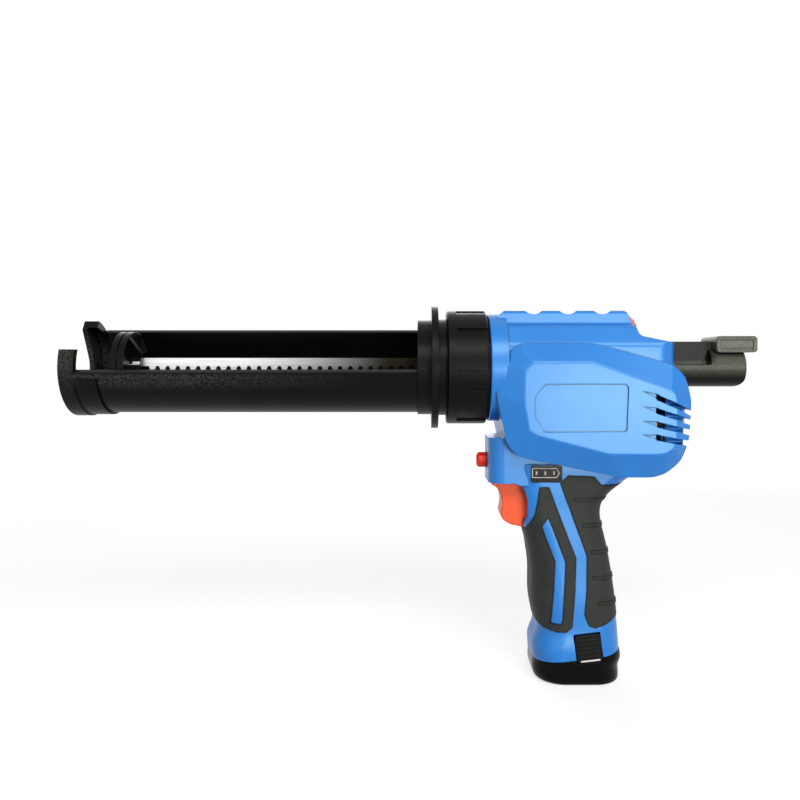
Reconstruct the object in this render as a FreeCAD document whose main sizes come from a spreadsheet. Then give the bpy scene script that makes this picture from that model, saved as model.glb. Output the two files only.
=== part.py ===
import FreeCAD, Part
import math
import os
import re

import Sketcher
from FreeCAD import Placement, Rotation, Vector

# Cordless caulking tool. Lengths are in millimetres. The origin is the middle of the battery's
# foot, +Z is up and the nose points along -X. Heights in the formulas are taken from the barrel
# axis; node() lifts every piece by the height of that axis above the foot.

SIZES = (
    # Stance of the body
    ("joint_drop", 173.3),
    ("base_height", 15.7),
    ("grip_lean", 6.4),
    ("grip_depth", 25.0),
    ("grip_half", 25.4),
    ("wall", 2.4),
    ("seam_gap", 0.1),
    ("overrun", 3.0),
    ("sliver", 0.05),
    ("face_gap", 0.3),
    ("run_fit", 0.05),
    # Body housing
    ("nose_x", -51.0),
    ("nose_lead", 3.5),
    ("nose_radius", 33.3),
    ("nose_length", 10.5),
    ("nose_round", 1.2),
    ("upper_length", 107.2),
    ("upper_half", 29.0),
    ("upper_drop", 20.0),
    ("spine_height", 34.6),
    ("scallops", 3.0),
    ("scallop_pitch", 20.9),
    ("scallop_start", 24.0),
    ("scallop_radius", 6.8),
    ("scallop_depth", 2.4),
    ("bulge_length", 114.0),
    ("bulge_height", 78.7),
    ("bulge_top", 14.2),
    ("bulge_half", 38.0),
    ("bulge_core_half", 30.4),
    ("bulge_round", 3.0),
    ("head_reach", 54.5),
    ("head_back", 20.0),
    ("head_half", 20.0),
    ("head_top", 42.5),
    ("head_bottom", 71.0),
    ("head_round", 9.0),
    ("label_depth", 1.0),
    ("vent_height", 3.2),
    ("vent_core", 20.0),
    ("vent_groove", 8.0),
    ("vent_groove_depth", 0.8),
    ("screw_radius", 1.5),
    ("screw_head_radius", 2.6),
    ("screw_head", 2.4),
    ("screw_boss_radius", 3.6),
    ("screw_seat", 14.0),
    ("screw_length", 24.0),
    ("rib", 3.0),
    ("rib_reach", 8.0),
    # Rubber pads
    ("pad_proud", 0.5),
    ("pad_depth", 1.4),
    ("pad_round", 2.0),
    ("pad_joint", 0.05),
    ("ridge_bead", 1.1),
    # Collar and front boss
    ("collar_gap", 1.2),
    ("collar_length", 24.1),
    ("collar_radius", 33.9),
    ("collar_pad", 1.1),
    ("collar_rim", 5.8),
    ("collar_lip", 3.0),
    ("collar_pads", 8.0),
    ("collar_edge", 0.8),
    ("boss_radius", 31.4),
    ("boss_bore", 24.0),
    ("boss_wall", 7.0),
    ("boss_waist", 27.0),
    ("boss_flange", 3.2),
    ("boss_flange_radius", 30.0),
    # Cradle
    ("cradle_roll", 28.0),
    ("neck_gap", 5.2),
    ("neck_radius", 29.8),
    ("retainer_radius", 30.9),
    ("retainer", 3.0),
    ("flange_radius", 37.8),
    ("flange", 4.0),
    ("ring_radius", 29.3),
    ("ring_length", 8.5),
    ("trough_radius", 25.5),
    ("trough_wall", 2.5),
    ("trough_rise", 12.0),
    ("trough_length", 202.0),
    ("lip_height", 4.4),
    ("lip_proud", 0.9),
    ("cap_radius", 30.0),
    ("cap_depth", 9.0),
    ("cap_web", 3.2),
    ("cap_wall", 4.6),
    ("cap_rise", 22.5),
    ("slot_radius", 14.0),
    ("sleeve_length", 13.0),
    ("sleeve_wall", 1.3),
    ("cap_tip", 19.8),
    ("cap_slant", 3.1),
    # Push rod and pusher
    ("rod_front_gap", 22.0),
    ("rod_back_gap", 4.0),
    ("rack_module", 2.0),
    ("rack_width", 9.0),
    ("rack_pitch_drop", 1.6),
    ("rack_back", 5.75),
    ("rack_plain", 15.0),
    ("rack_tail", 14.0),
    ("pusher_radius", 22.0),
    ("pusher_rim", 3.6),
    ("pusher_groove", 1.0),
    ("pusher_hub", 9.4),
    ("pusher_length", 14.0),
    ("pusher_web", 3.0),
    ("pusher_ribs", 6.0),
    ("pusher_screw_head", 6.0),
    ("pusher_screw_rise", 2.4),
    ("pusher_screw_radius", 2.0),
    ("pusher_screw_length", 14.0),
    ("handle_x", 56.9),
    ("handle_radius", 12.0),
    ("handle_length", 46.1),
    ("handle_chamfer", 11.0),
    ("handle_round", 5.0),
    ("rail_top", 15.9),
    ("rail_half", 5.0),
    ("rail_floor", 11.3),
    ("scoop_length", 22.0),
    ("scoop_depth", 7.0),
    ("scoop_floor", 1.5),
    ("flag_start", 27.5),
    ("flag_length", 24.8),
    ("flag_half", 13.0),
    ("flag_bottom", 9.1),
    ("flag_top", 19.0),
    ("flag_round", 2.2),
    ("flag_panel", 0.5),
    ("flag_margin", 2.2),
    ("handle_socket", 18.0),
    ("pin_radius", 2.0),
    ("pin_place", 13.5),
    # Drive
    ("drive_x", -26.0),
    ("pinion_teeth", 12.0),
    ("pinion_width", 7.0),
    ("pinion_shift", 0.5),
    ("spur_module", 1.25),
    ("spur_teeth", 23.0),
    ("spur_pinion_teeth", 11.0),
    ("spur_width", 7.0),
    ("spur_y", 7.0),
    ("bevel_module", 1.0),
    ("bevel_teeth", 24.0),
    ("bevel_pinion_teeth", 12.0),
    ("bevel_face", 5.0),
    ("bevel_hub", 7.0),
    ("backlash", 0.24),
    ("shaft_radius", 4.0),
    ("bush_radius", 6.0),
    ("bush_flange", 7.6),
    ("bush_flange_width", 1.0),
    ("plate_half", 16.0),
    ("plate", 3.0),
    ("plate_reach", 11.0),
    ("plate_over", 11.0),
    ("plate_round", 4.0),
    ("gearbox_gap", 5.0),
    ("gearbox_radius", 16.5),
    ("gearbox_length", 24.0),
    ("gearbox_nose", 9.0),
    ("gearbox_nose_length", 1.2),
    ("output_radius", 4.0),
    ("motor_radius", 13.85),
    ("motor_length", 37.8),
    ("motor_wall", 1.0),
    ("motor_cap", 3.6),
    ("motor_shaft", 1.6),
    ("motor_tail", 2.2),
    ("rotor_radius", 10.0),
    ("rotor_margin", 6.0),
    ("saddle", 3.0),
    # Rear rod guide
    ("guide_length", 10.0),
    ("guide_half", 9.0),
    ("guide_top", 10.5),
    ("guide_bottom", 8.0),
    ("rod_fit", 0.08),
    # Controls
    ("trigger_half", 9.5),
    ("trigger_back", 27.0),
    ("trigger_round", 0.8),
    ("trigger_travel", 6.0),
    ("trigger_stem", 2.6),
    ("trigger_stem_length", 11.0),
    ("switch_gap", 0.6),
    ("switch_length", 26.0),
    ("switch_half", 9.0),
    ("switch_top", 72.0),
    ("switch_bottom", 94.0),
    ("button_radius", 4.75),
    ("button_drop", 57.5),
    ("button_front", 60.8),
    ("button_length", 15.0),
    ("button_travel", 3.0),
    ("button_round", 1.2),
    ("button_collar", 6.0),
    ("button_collar_length", 2.0),
    ("button_stem", 2.0),
    ("button_stem_length", 6.0),
    ("button_switch_length", 12.0),
    ("button_switch_half", 6.0),
    ("dial_x", 27.1),
    ("dial_height", 21.9),
    ("dial_radius", 12.0),
    ("dial_half", 3.2),
    ("dial_shaft", 2.0),
    ("dial_side_gap", 0.5),
    ("dial_notches", 24.0),
    ("dial_notch", 0.5),
    ("dial_box_half", 3.4),
    ("dial_box", 5.0),
    ("gauge_x", -29.8),
    ("gauge_length", 18.5),
    ("gauge_drop", 58.4),
    ("gauge_height", 10.2),
    ("gauge_depth", 1.4),
    ("gauge_round", 1.6),
    ("gauge_proud", 0.2),
    ("board_x", 10.0),
    ("board_length", 34.0),
    ("board_half", 19.0),
    ("board", 1.6),
    ("board_drop", 57.6),
    ("chip_height", 3.0),
    ("chip_length", 8.0),
    ("chip_pitch", 10.4),
    ("ledge", 1.6),
    # Battery
    ("joint_gap", 0.3),
    ("stick_front", -16.3),
    ("stick_back", 20.1),
    ("stick_half", 19.2),
    ("stick_length", 84.0),
    ("stick_wall", 0.8),
    ("stick_round", 8.0),
    ("stick_front_round", 13.0),
    ("cell_radius", 9.1),
    ("cell_length", 65.0),
    ("cell_start", 14.0),
    ("latch_x", 6.4),
    ("latch_half", 7.6),
    ("latch_bottom", 14.0),
    ("latch_height", 16.0),
    ("latch_thick", 4.0),
    ("latch_round", 1.6),
    ("latch_gap", 0.4),
    ("latch_rib", 0.7),
    ("latch_ribs", 5.0),
    ("latch_travel", 2.0),
    ("latch_proud", 0.5),
    ("cell_gap", 0.1),
    ("cell_spread", 9.35),
    ("cell_row", 16.1),
    ("blade_width", 6.0),
    ("blade_pitch", 7.0),
    ("terminal_half", 12.0),
    ("terminal_front", 9.0),
    ("blade", 0.8),
    ("blade_rise", 6.0),
    ("terminal_height", 9.0),
)

doc = FreeCAD.newDocument("caulking_tool")
sheet = doc.addObject("Spreadsheet::Sheet", "sizes")
for row, (alias, number) in enumerate(SIZES, start=1):
    sheet.set(f"A{row}", alias)
    sheet.set(f"B{row}", str(number))
    sheet.setAlias(f"B{row}", alias)
doc.recompute()

ALIASES = {alias for alias, number in SIZES}
NODES = []
ALONG_X = Rotation(Vector(0, 1, 0), 90)
ALONG_Y = Rotation(Vector(1, 0, 0), -90)
X_TO_Y = Rotation(Vector(0, 0, 1), 90)
PLANE_TURNS = {"XY": Rotation(), "XZ": Rotation(Vector(1, 0, 0), 90),
               "YZ": Rotation(Vector(1, 1, 1), 120)}
PLANE_NORMALS = {"XY": Vector(0, 0, 1), "XZ": Vector(0, 1, 0), "YZ": Vector(1, 0, 0)}


def linked(formula):
    """A formula of named sizes, as the expression that reads them from the sheet."""
    return re.sub(r"[a-z_]\w*", lambda m: f"sizes.{m[0]}" if m[0] in ALIASES else m[0], formula)


def n(formula):
    """The number that a formula of named sizes gives now."""
    return float(sheet.evalExpression(linked(formula)))


def moved(obj, x="0", y="0", z="0"):
    for axis, formula in zip("xyz", (x, y, z)):
        obj.setExpression(f"Placement.Base.{axis}", linked(formula))
    return obj


def node(obj, label, x="0", y="0", z="0", turn=Rotation()):
    """Names a finished piece and puts it in its place."""
    obj.Label = label
    obj.Placement = Placement(Vector(), turn)
    NODES.append(obj)
    return moved(obj, x, y, f"{z} + joint_drop + base_height")


def cylinder(name, radius, length, turn=ALONG_X, x="0", y="0", z="0", angle=360):
    obj = doc.addObject("Part::Cylinder", name)
    obj.setExpression("Radius", linked(radius))
    obj.setExpression("Height", linked(length))
    obj.Angle = angle
    obj.Placement = Placement(Vector(), turn)
    return moved(obj, x, y, z)


def block(name, x, y, z):
    """A box between pairs of formulas."""
    obj = doc.addObject("Part::Box", name)
    for side, (low, high) in zip(("Length", "Width", "Height"), (x, y, z)):
        obj.setExpression(side, linked(f"({high}) - ({low})"))
    return moved(obj, x[0], y[0], z[0])


def joined(kind, name, pieces):
    obj = doc.addObject(kind, name)
    obj.Shapes = pieces
    return obj


def fused(name, *pieces):
    return joined("Part::MultiFuse", name, list(pieces))


def grouped(name, *pieces):
    obj = doc.addObject("Part::Compound", name)
    obj.Links = list(pieces)
    return obj


def cut(name, base, *tools):
    obj = doc.addObject("Part::Cut", name)
    obj.Base = base
    obj.Tool = tools[0] if len(tools) == 1 else fused(f"{name}_tools", *tools)
    return obj


def rounded(points, radii=()):
    """A closed wire of straight lines whose corners are rounded by the radii given."""
    corners = [Vector(a, b, 0) for a, b in points]
    radii = list(radii) or [0] * len(corners)
    arcs = []
    for i, (corner, radius) in enumerate(zip(corners, radii)):
        before = (corners[i - 1] - corner).normalize()
        after = (corners[(i + 1) % len(corners)] - corner).normalize()
        half = before.getAngle(after) / 2
        reach = radius / math.tan(half)
        middle = corner + (before + after).normalize() * (radius / math.sin(half) - radius)
        arcs.append((corner + before * reach, middle, corner + after * reach))
    edges = []
    for i, (start, middle, end) in enumerate(arcs):
        following = arcs[(i + 1) % len(arcs)][0]
        if radii[i]:
            edges.append(Part.Arc(start, middle, end).toShape())
        if not following.isEqual(end, n("sliver") / 100):
            edges.append(Part.makeLine(end, following))
    return Part.Wire(edges)


def numbers(points):
    return [(n(a), n(b)) for a, b in points]


def flat(points, plane, start, radii=()):
    """A face in a plane of the frame, at a distance along the plane's normal."""
    face = Part.Face(rounded(points, radii))
    face.Placement = Placement(PLANE_NORMALS[plane] * start, PLANE_TURNS[plane])
    return face


def prism(points, plane, start, length, radii=()):
    return flat(points, plane, start, radii).extrude(PLANE_NORMALS[plane] * length)


def slab(name, points, plane, start, length, radii=()):
    """An outline of formulas, drawn in a plane and given a bound thickness."""
    outline = doc.addObject("Part::Feature", f"{name}_outline")
    outline.Shape = Part.Face(rounded(numbers(points), [n(radius) for radius in radii]))
    outline.Placement = Placement(Vector(), PLANE_TURNS[plane])
    axis = {"XY": "z", "XZ": "y", "YZ": "x"}[plane]
    moved(outline, **{axis: start})
    obj = doc.addObject("Part::Extrusion", name)
    obj.Base = outline
    obj.DirMode = "Custom"
    obj.Dir = PLANE_NORMALS[plane]
    obj.Solid = True
    obj.setExpression("LengthFwd", linked(length))
    return obj


def turned(name, outline):
    """A body turned about X from an outline of (distance along X, radius) formulas."""
    body = doc.addObject("PartDesign::Body", name)
    sketch = body.newObject("Sketcher::SketchObject", f"{name}_outline")
    plane = next(f for f in body.Origin.OriginFeatures if f.Role == "XZ_Plane")
    sketch.AttachmentSupport = [(plane, "")]
    sketch.MapMode = "FlatFace"
    corners = [Vector(n(a), n(b), 0) for a, b in outline]
    count = len(corners)
    lines = [Part.LineSegment(corners[i], corners[(i + 1) % count]) for i in range(count)]
    sketch.addGeometry(lines, False)
    for i in range(count):
        sketch.addConstraint(Sketcher.Constraint("Coincident", i, 2, (i + 1) % count, 1))
    for i, (along, radius) in enumerate(outline):
        bound(sketch, "DistanceX", i, along)
        if radius == "0":
            sketch.addConstraint(Sketcher.Constraint("PointOnObject", i, 1, -1))
        else:
            bound(sketch, "DistanceY", i, radius)
    turning = body.newObject("PartDesign::Revolution", f"{name}_turning")
    turning.Profile = sketch
    turning.ReferenceAxis = (sketch, ["H_Axis"])
    turning.Angle = 360
    return body


def bound(sketch, kind, line, formula):
    place = sketch.addConstraint(Sketcher.Constraint(kind, -1, 1, line, 1, n(formula)))
    sketch.setExpression(f"Constraints[{place}]", linked(formula))


def shaped(name, shape):
    obj = doc.addObject("Part::Feature", name)
    obj.Shape = shape
    return obj


def around(shape, count, axis=Vector(1, 0, 0), first=0):
    """Copies of a shape, evenly spaced about an axis through the origin."""
    copies = []
    for i in range(int(count)):
        copy = shape.copy()
        copy.rotate(Vector(), axis, first + 360 * i / count)
        copies.append(copy)
    return copies


# Distances along the barrel axis, from the nose of the body forward
NOSE_FRONT = "(nose_x - nose_lead)"
COLLAR_BACK = f"({NOSE_FRONT} - collar_gap)"
COLLAR_FRONT = f"({COLLAR_BACK} - collar_length)"
LIP_BACK = f"({COLLAR_FRONT} + collar_lip)"
RETAINER_FRONT = f"({LIP_BACK} + face_gap)"
RETAINER_BACK = f"({RETAINER_FRONT} + retainer)"
BOSS_FRONT = f"({RETAINER_BACK} + face_gap)"
FLANGE_BACK = f"({COLLAR_FRONT} - neck_gap)"
FLANGE_FRONT = f"({FLANGE_BACK} - flange)"
RING_FRONT = f"({FLANGE_FRONT} - ring_length)"
CAP_BACK = f"({RING_FRONT} - trough_length)"
CAP_FRONT = f"({CAP_BACK} - cap_depth)"
ROD_FRONT = f"({CAP_BACK} + rod_front_gap)"
PUSHER_FACE = f"({ROD_FRONT} - rod_back_gap)"
PUSHER_BACK = f"({PUSHER_FACE} + pusher_length)"
TAIL = "(nose_x + upper_length)"
INNER_NOSE = f"({NOSE_FRONT} + wall)"

# Heights of the drive, from the barrel axis down
RACK_TIP_SHARE = 0.9
RACK_ROOT_SHARE = 1.15
PINION_Z = "(0 - rack_pitch_drop - rack_module * pinion_teeth / 2 - pinion_shift)"
SPUR_REACH = "(spur_module * (spur_teeth + spur_pinion_teeth) / 2 + backlash / 2)"
MOTOR_Z = f"({PINION_Z} - {SPUR_REACH})"


# Cradle: a trough with an open side, a front cap with a slot for the nozzle, and a flanged ring
def channel(name, radius, rise, start, length):
    """A bar with a round bottom and straight sides that rise above its axis."""
    below = f"0 - ({radius})"
    points = ((below, rise), (below, below), (radius, below), (radius, rise))
    return slab(name, points, "YZ", start, length, ("0", radius, radius, "0"))


TROUGH_OUTER = "(trough_radius + trough_wall)"
CRADLE_TURN = Rotation(Vector(1, 0, 0), n("cradle_roll"))

trough = cut(
    "cradle_trough",
    fused(
        "trough_outside",
        channel("trough_bar", TROUGH_OUTER, "trough_rise", CAP_BACK, "trough_length"),
        block("trough_lip", (CAP_BACK, RING_FRONT),
              (f"0 - {TROUGH_OUTER} - lip_proud", f"{TROUGH_OUTER} + lip_proud"),
              ("trough_rise - lip_height", "trough_rise")),
    ),
    channel("trough_bore", "trough_radius", "trough_rise + overrun",
            f"{CAP_BACK} - overrun", "trough_length + 2 * overrun"),
)
node(trough, "cradle_trough", turn=CRADLE_TURN)

TIP = "cap_radius + overrun"
cap_top_points = (
    (f"0 - {TIP}", "cap_rise"), ("0 - cap_tip", "cap_rise"), ("0 - slot_radius", "cap_rise - cap_slant"),
    ("slot_radius", "cap_rise - cap_slant"), ("cap_tip", "cap_rise"), (TIP, "cap_rise"), (TIP, TIP),
    (f"0 - {TIP}", TIP),
)
cap = cut(
    "cradle_cap",
    fused(
        "cap_outside",
        cylinder("cap_disc", "cap_radius", "cap_depth", x=CAP_FRONT),
        cut("cap_sleeve",
            channel("cap_sleeve_bar", f"{TROUGH_OUTER} + sleeve_wall", "trough_rise - lip_height",
                    CAP_BACK, "sleeve_length"),
            channel("cap_sleeve_bore", TROUGH_OUTER, "trough_rise + overrun",
                    f"{CAP_BACK} - overrun", "sleeve_length + 2 * overrun")),
    ),
    channel("cap_slot", "slot_radius", "cap_rise + overrun",
            f"{CAP_FRONT} - overrun", "cap_depth + 2 * overrun"),
    cylinder("cap_well", "cap_radius - cap_wall", "cap_depth + overrun", x=f"{CAP_FRONT} + cap_web"),
    slab("cap_top", cap_top_points, "YZ", f"{CAP_FRONT} - overrun", "cap_depth + 2 * overrun"),
)
node(cap, "cradle_cap", turn=CRADLE_TURN)

ring = turned("cradle_ring", (
    (RING_FRONT, "trough_radius"), (RING_FRONT, "ring_radius"), (FLANGE_FRONT, "ring_radius"),
    (FLANGE_FRONT, "flange_radius"), (FLANGE_BACK, "flange_radius"), (FLANGE_BACK, "neck_radius"),
    (RETAINER_FRONT, "neck_radius"), (RETAINER_FRONT, "retainer_radius"),
    (RETAINER_BACK, "retainer_radius"), (RETAINER_BACK, "trough_radius"),
))
node(ring, "cradle_ring", turn=CRADLE_TURN)

# Lock collar and the boss that it screws on
COLLAR_OUTER = "(collar_radius + collar_pad)"
THREAD_BORE = "(boss_radius + face_gap)"
PAD_ANGLE_SHARE = 0.55
PAD_PHASE_SHARE = 0.524
collar_blank = turned("collar_blank", (
    (COLLAR_FRONT, "neck_radius + face_gap"), (COLLAR_FRONT, f"{COLLAR_OUTER} - collar_edge"),
    (f"{COLLAR_FRONT} + collar_edge", COLLAR_OUTER), (f"{COLLAR_BACK} - collar_edge", COLLAR_OUTER),
    (COLLAR_BACK, f"{COLLAR_OUTER} - collar_edge"), (COLLAR_BACK, THREAD_BORE),
    (LIP_BACK, THREAD_BORE), (LIP_BACK, "neck_radius + face_gap"),
))
PAD_PITCH = 360 / n("collar_pads")
RELIEF_ANGLE = PAD_PITCH * (1 - PAD_ANGLE_SHARE)
reliefs = []
for i in range(int(n("collar_pads"))):
    start = PAD_PITCH * (i + PAD_ANGLE_SHARE + PAD_PHASE_SHARE)
    turn = Rotation(Vector(1, 0, 0), start).multiply(ALONG_X)
    place = f"{COLLAR_FRONT} + collar_rim"
    length = "collar_length - collar_rim + overrun"
    reliefs.append(cut(
        f"collar_relief_{i}",
        cylinder(f"relief_outside_{i}", f"{COLLAR_OUTER} + overrun", length, turn, place,
                 angle=RELIEF_ANGLE),
        cylinder(f"relief_inside_{i}", "collar_radius", length, turn, place, angle=RELIEF_ANGLE),
    ))
collar = cut("lock_collar", collar_blank, *reliefs)
node(collar, "lock_collar")

ROD_HOLE = (("0 - rack_width / 2 - rod_fit", "rack_width / 2 + rod_fit"),
            ("0 - rack_pitch_drop - rack_module - rod_fit", "rack_back + rod_fit"))
BOSS_BACK = f"({INNER_NOSE} + face_gap / 3 + boss_flange)"
boss = cut(
    "front_boss",
    turned("boss_blank", (
        (BOSS_FRONT, "boss_bore"), (BOSS_FRONT, "boss_radius"),
        (f"{NOSE_FRONT} - face_gap / 3", "boss_radius"),
        (f"{NOSE_FRONT} - face_gap / 3", "boss_waist - face_gap / 3"),
        (f"{INNER_NOSE} + face_gap / 3", "boss_waist - face_gap / 3"),
        (f"{INNER_NOSE} + face_gap / 3", "boss_flange_radius"), (BOSS_BACK, "boss_flange_radius"),
        (BOSS_BACK, "0"), (f"{BOSS_BACK} - boss_wall", "0"), (f"{BOSS_BACK} - boss_wall", "boss_bore"),
    )),
    block("boss_rod_hole", (f"{BOSS_BACK} - boss_wall - overrun", f"{BOSS_BACK} + overrun"), *ROD_HOLE),
)
node(boss, "front_boss")

# Push rod: a rack with its teeth below, a pusher in front and a pull handle behind
RACK_PITCH = math.pi * n("rack_module")
FLANK_SLOPE = math.tan(math.radians(20))
rack_tip = n(f"0 - rack_pitch_drop - {RACK_TIP_SHARE} * rack_module")
rack_root = n(f"0 - rack_pitch_drop + {RACK_ROOT_SHARE} * rack_module")
tip_half = RACK_PITCH / 4 - FLANK_SLOPE * RACK_TIP_SHARE * n("rack_module") - n("backlash") / 2
root_half = tip_half + FLANK_SLOPE * (rack_root - rack_tip)
rack_points = [(n(ROD_FRONT), n("rack_back")), (n(ROD_FRONT), rack_root)]
TOOTH = n("drive_x") + RACK_PITCH / 2
teeth_before = math.floor((TOOTH - n(f"{ROD_FRONT} + rack_plain")) / RACK_PITCH)
teeth_after = math.floor((n("handle_x - rack_tail") - TOOTH) / RACK_PITCH)
for i in range(-teeth_before, teeth_after + 1):
    middle = TOOTH + i * RACK_PITCH
    rack_points += [(middle - root_half, rack_root), (middle - tip_half, rack_tip),
                    (middle + tip_half, rack_tip), (middle + root_half, rack_root)]
rod_end = n("handle_x + handle_socket")
rack_points += [(rod_end, rack_root), (rod_end, n("rack_back"))]
rack_outline = shaped("rack_outline", flat(rack_points, "XZ", 0))
rack_bar = doc.addObject("Part::Extrusion", "rack_bar")
rack_bar.Base = rack_outline
rack_bar.DirMode = "Custom"
rack_bar.Dir = Vector(0, 1, 0)
rack_bar.Symmetric = True
rack_bar.setExpression("LengthFwd", linked("rack_width"))
ROD_MIDDLE = f"((rack_back - rack_pitch_drop + {RACK_ROOT_SHARE} * rack_module) / 2)"
rack = cut(
    "push_rod", rack_bar,
    cylinder("rod_pin_hole", "pin_radius + sliver", "4 * rack_width", Rotation(),
             "handle_x + pin_place", z="0 - 2 * rack_width"),
    cylinder("rod_screw_hole", "pusher_screw_radius + sliver", "pusher_screw_length + overrun",
             x=f"{ROD_FRONT} - overrun", z=ROD_MIDDLE),
)
node(rack, "push_rod")

ROD_BAR = (("0 - rack_width / 2 - sliver", "rack_width / 2 + sliver"),
           (f"0 - rack_pitch_drop + {RACK_ROOT_SHARE} * rack_module - sliver", "rack_back + sliver"))
PUSHER_WEB = f"({PUSHER_FACE} + pusher_rim + pusher_groove + pusher_rim)"
rib_points = ((PUSHER_WEB, "pusher_hub - sliver * 10"), (PUSHER_BACK, "pusher_hub - sliver * 10"),
              (PUSHER_BACK, "pusher_hub"), (PUSHER_WEB, "pusher_radius - pusher_groove"))
rib = prism(numbers(rib_points), "XZ", n("0 - pusher_web / 2"), n("pusher_web"))
pusher = cut(
    "pusher",
    fused(
        "pusher_outside",
        turned("pusher_blank", (
            (PUSHER_FACE, "0"), (PUSHER_FACE, "pusher_radius"),
            (f"{PUSHER_FACE} + pusher_rim", "pusher_radius"),
            (f"{PUSHER_FACE} + pusher_rim", "pusher_radius - pusher_groove"),
            (f"{PUSHER_FACE} + pusher_rim + pusher_groove", "pusher_radius - pusher_groove"),
            (f"{PUSHER_FACE} + pusher_rim + pusher_groove", "pusher_radius"),
            (PUSHER_WEB, "pusher_radius"), (PUSHER_WEB, "pusher_hub"),
            (PUSHER_BACK, "pusher_hub"), (PUSHER_BACK, "0"),
        )),
        shaped("pusher_ribs", Part.makeCompound(around(rib, n("pusher_ribs"), first=30))),
    ),
    block("pusher_socket", (ROD_FRONT, f"{PUSHER_BACK} + overrun"), *ROD_BAR),
    cylinder("pusher_screw_hole", "pusher_screw_radius + sliver", "rod_back_gap + 2 * overrun",
             x=f"{PUSHER_FACE} - overrun", z=ROD_MIDDLE),
    cylinder("pusher_screw_seat", "pusher_screw_head + face_gap", "pusher_screw_rise + overrun",
             x=f"{PUSHER_FACE} - overrun", z=ROD_MIDDLE),
)
node(pusher, "pusher")

SCREW_SEAT = f"({PUSHER_FACE} + pusher_screw_rise)"
SCREW_END = f"({ROD_FRONT} + pusher_screw_length - overrun)"
screw = turned("pusher_screw", (
    (PUSHER_FACE, "0"), (PUSHER_FACE, "pusher_screw_head"), (SCREW_SEAT, "pusher_screw_head"),
    (SCREW_SEAT, "pusher_screw_radius"), (SCREW_END, "pusher_screw_radius"), (SCREW_END, "0"),
))
node(screw, "pusher_screw", z=ROD_MIDDLE)

HANDLE_END = "(handle_x + handle_length)"
FLAG_FRONT = "(handle_x + flag_start)"
FLAG_BACK = f"({FLAG_FRONT} + flag_length)"
side_points = (("handle_x", "0 - handle_radius + handle_chamfer"),
               ("handle_x + handle_chamfer", "0 - handle_radius"),
               (HANDLE_END, "0 - handle_radius"), (HANDLE_END, "handle_radius"),
               ("handle_x", "handle_radius"))
pull = cut(
    "rod_handle",
    fused(
        "handle_outside",
        joined("Part::MultiCommon", "handle_grip", [
            cylinder("handle_bar", "handle_radius", "handle_length", x="handle_x"),
            slab("handle_side", side_points, "XZ", "0 - handle_radius - overrun",
                 "2 * handle_radius + 2 * overrun", ("0", "0", "handle_round", "0", "0")),
        ]),
        block("handle_rail", ("handle_x - sliver * 10", f"{FLAG_FRONT} + overrun"),
              ("0 - rail_half", "rail_half"), ("0", "rail_top")),
        slab("handle_flag", ((FLAG_FRONT, "flag_bottom"), (FLAG_BACK, "flag_bottom"),
                             (FLAG_BACK, "flag_top"), (FLAG_FRONT, "flag_top")),
             "XZ", "0 - flag_half", "2 * flag_half", ("flag_round",) * 4),
    ),
    block("handle_scoop_near", ("handle_x + overrun", "handle_x + overrun + scoop_length"),
          ("0 - handle_radius - overrun", "scoop_depth - handle_radius"), ("scoop_floor", "rail_floor")),
    block("handle_scoop_far", ("handle_x + overrun", "handle_x + overrun + scoop_length"),
          ("handle_radius - scoop_depth", "handle_radius + overrun"), ("scoop_floor", "rail_floor")),
    block("handle_panel_near", (f"{FLAG_FRONT} + flag_margin", f"{FLAG_BACK} - flag_margin"),
          ("0 - flag_half - overrun", "flag_panel - flag_half"),
          ("flag_bottom + flag_margin", "flag_top - flag_margin")),
    block("handle_panel_far", (f"{FLAG_FRONT} + flag_margin", f"{FLAG_BACK} - flag_margin"),
          ("flag_half - flag_panel", "flag_half + overrun"),
          ("flag_bottom + flag_margin", "flag_top - flag_margin")),
    block("handle_socket_hole", ("handle_x - overrun", "handle_x + handle_socket"), *ROD_BAR),
    cylinder("handle_pin_hole", "pin_radius + sliver", "2 * handle_radius + 2 * overrun", Rotation(),
             "handle_x + pin_place", z="0 - handle_radius - overrun"),
)
node(pull, "rod_handle")
PIN_LENGTH_SHARE = 0.85
pin_length = f"2 * handle_radius * {PIN_LENGTH_SHARE}"
pin = grouped("rod_pin_group", cylinder("rod_pin_bar", "pin_radius", pin_length, Rotation(),
                                        "handle_x + pin_place", z="0 - handle_radius"))
node(pin, "rod_handle_pin")


# Drive: rack pinion and spur gear on the cross shaft, spur pinion and bevel gear on the
# countershaft, bevel pinion on the gearbox output
def involute(pitch, base, half_pitch, radius):
    """Half the angle that a tooth covers at a radius."""
    def roll(r):
        angle = math.acos(min(base / r, 1))
        return math.tan(angle) - angle
    return half_pitch + roll(pitch) - roll(max(radius, base))


def tooth_ring(teeth, phase, flank):
    """Corners of a gear, from the (radius, half angle) pairs of one flank, root first."""
    points = []
    for i in range(int(teeth)):
        middle = math.radians(phase) + 2 * math.pi * i / teeth
        corners = [(r, middle - half) for r, half in flank]
        corners += [(r, middle + half) for r, half in reversed(flank)]
        points += [(r * math.cos(a), r * math.sin(a)) for r, a in corners]
    return points


FLANK_SHARES = (0, 0.3, 0.55, 0.78, 1)
STUB_TIP_SHARE = 0.8
STUB_ROOT_SHARE = 1.1


def spur_points(module, teeth, phase, tip, root, pressure, shift=0):
    pitch = module * teeth / 2
    base = pitch * math.cos(math.radians(pressure))
    thickness = math.pi * module / 2 + 2 * shift * math.tan(math.radians(pressure)) - n("backlash")
    half_pitch = thickness / (2 * pitch)
    low, high = pitch + shift - root, pitch + shift + tip
    radii = [low + (high - low) * share for share in FLANK_SHARES]
    return tooth_ring(teeth, phase, [(r, involute(pitch, base, half_pitch, r)) for r in radii])


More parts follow.
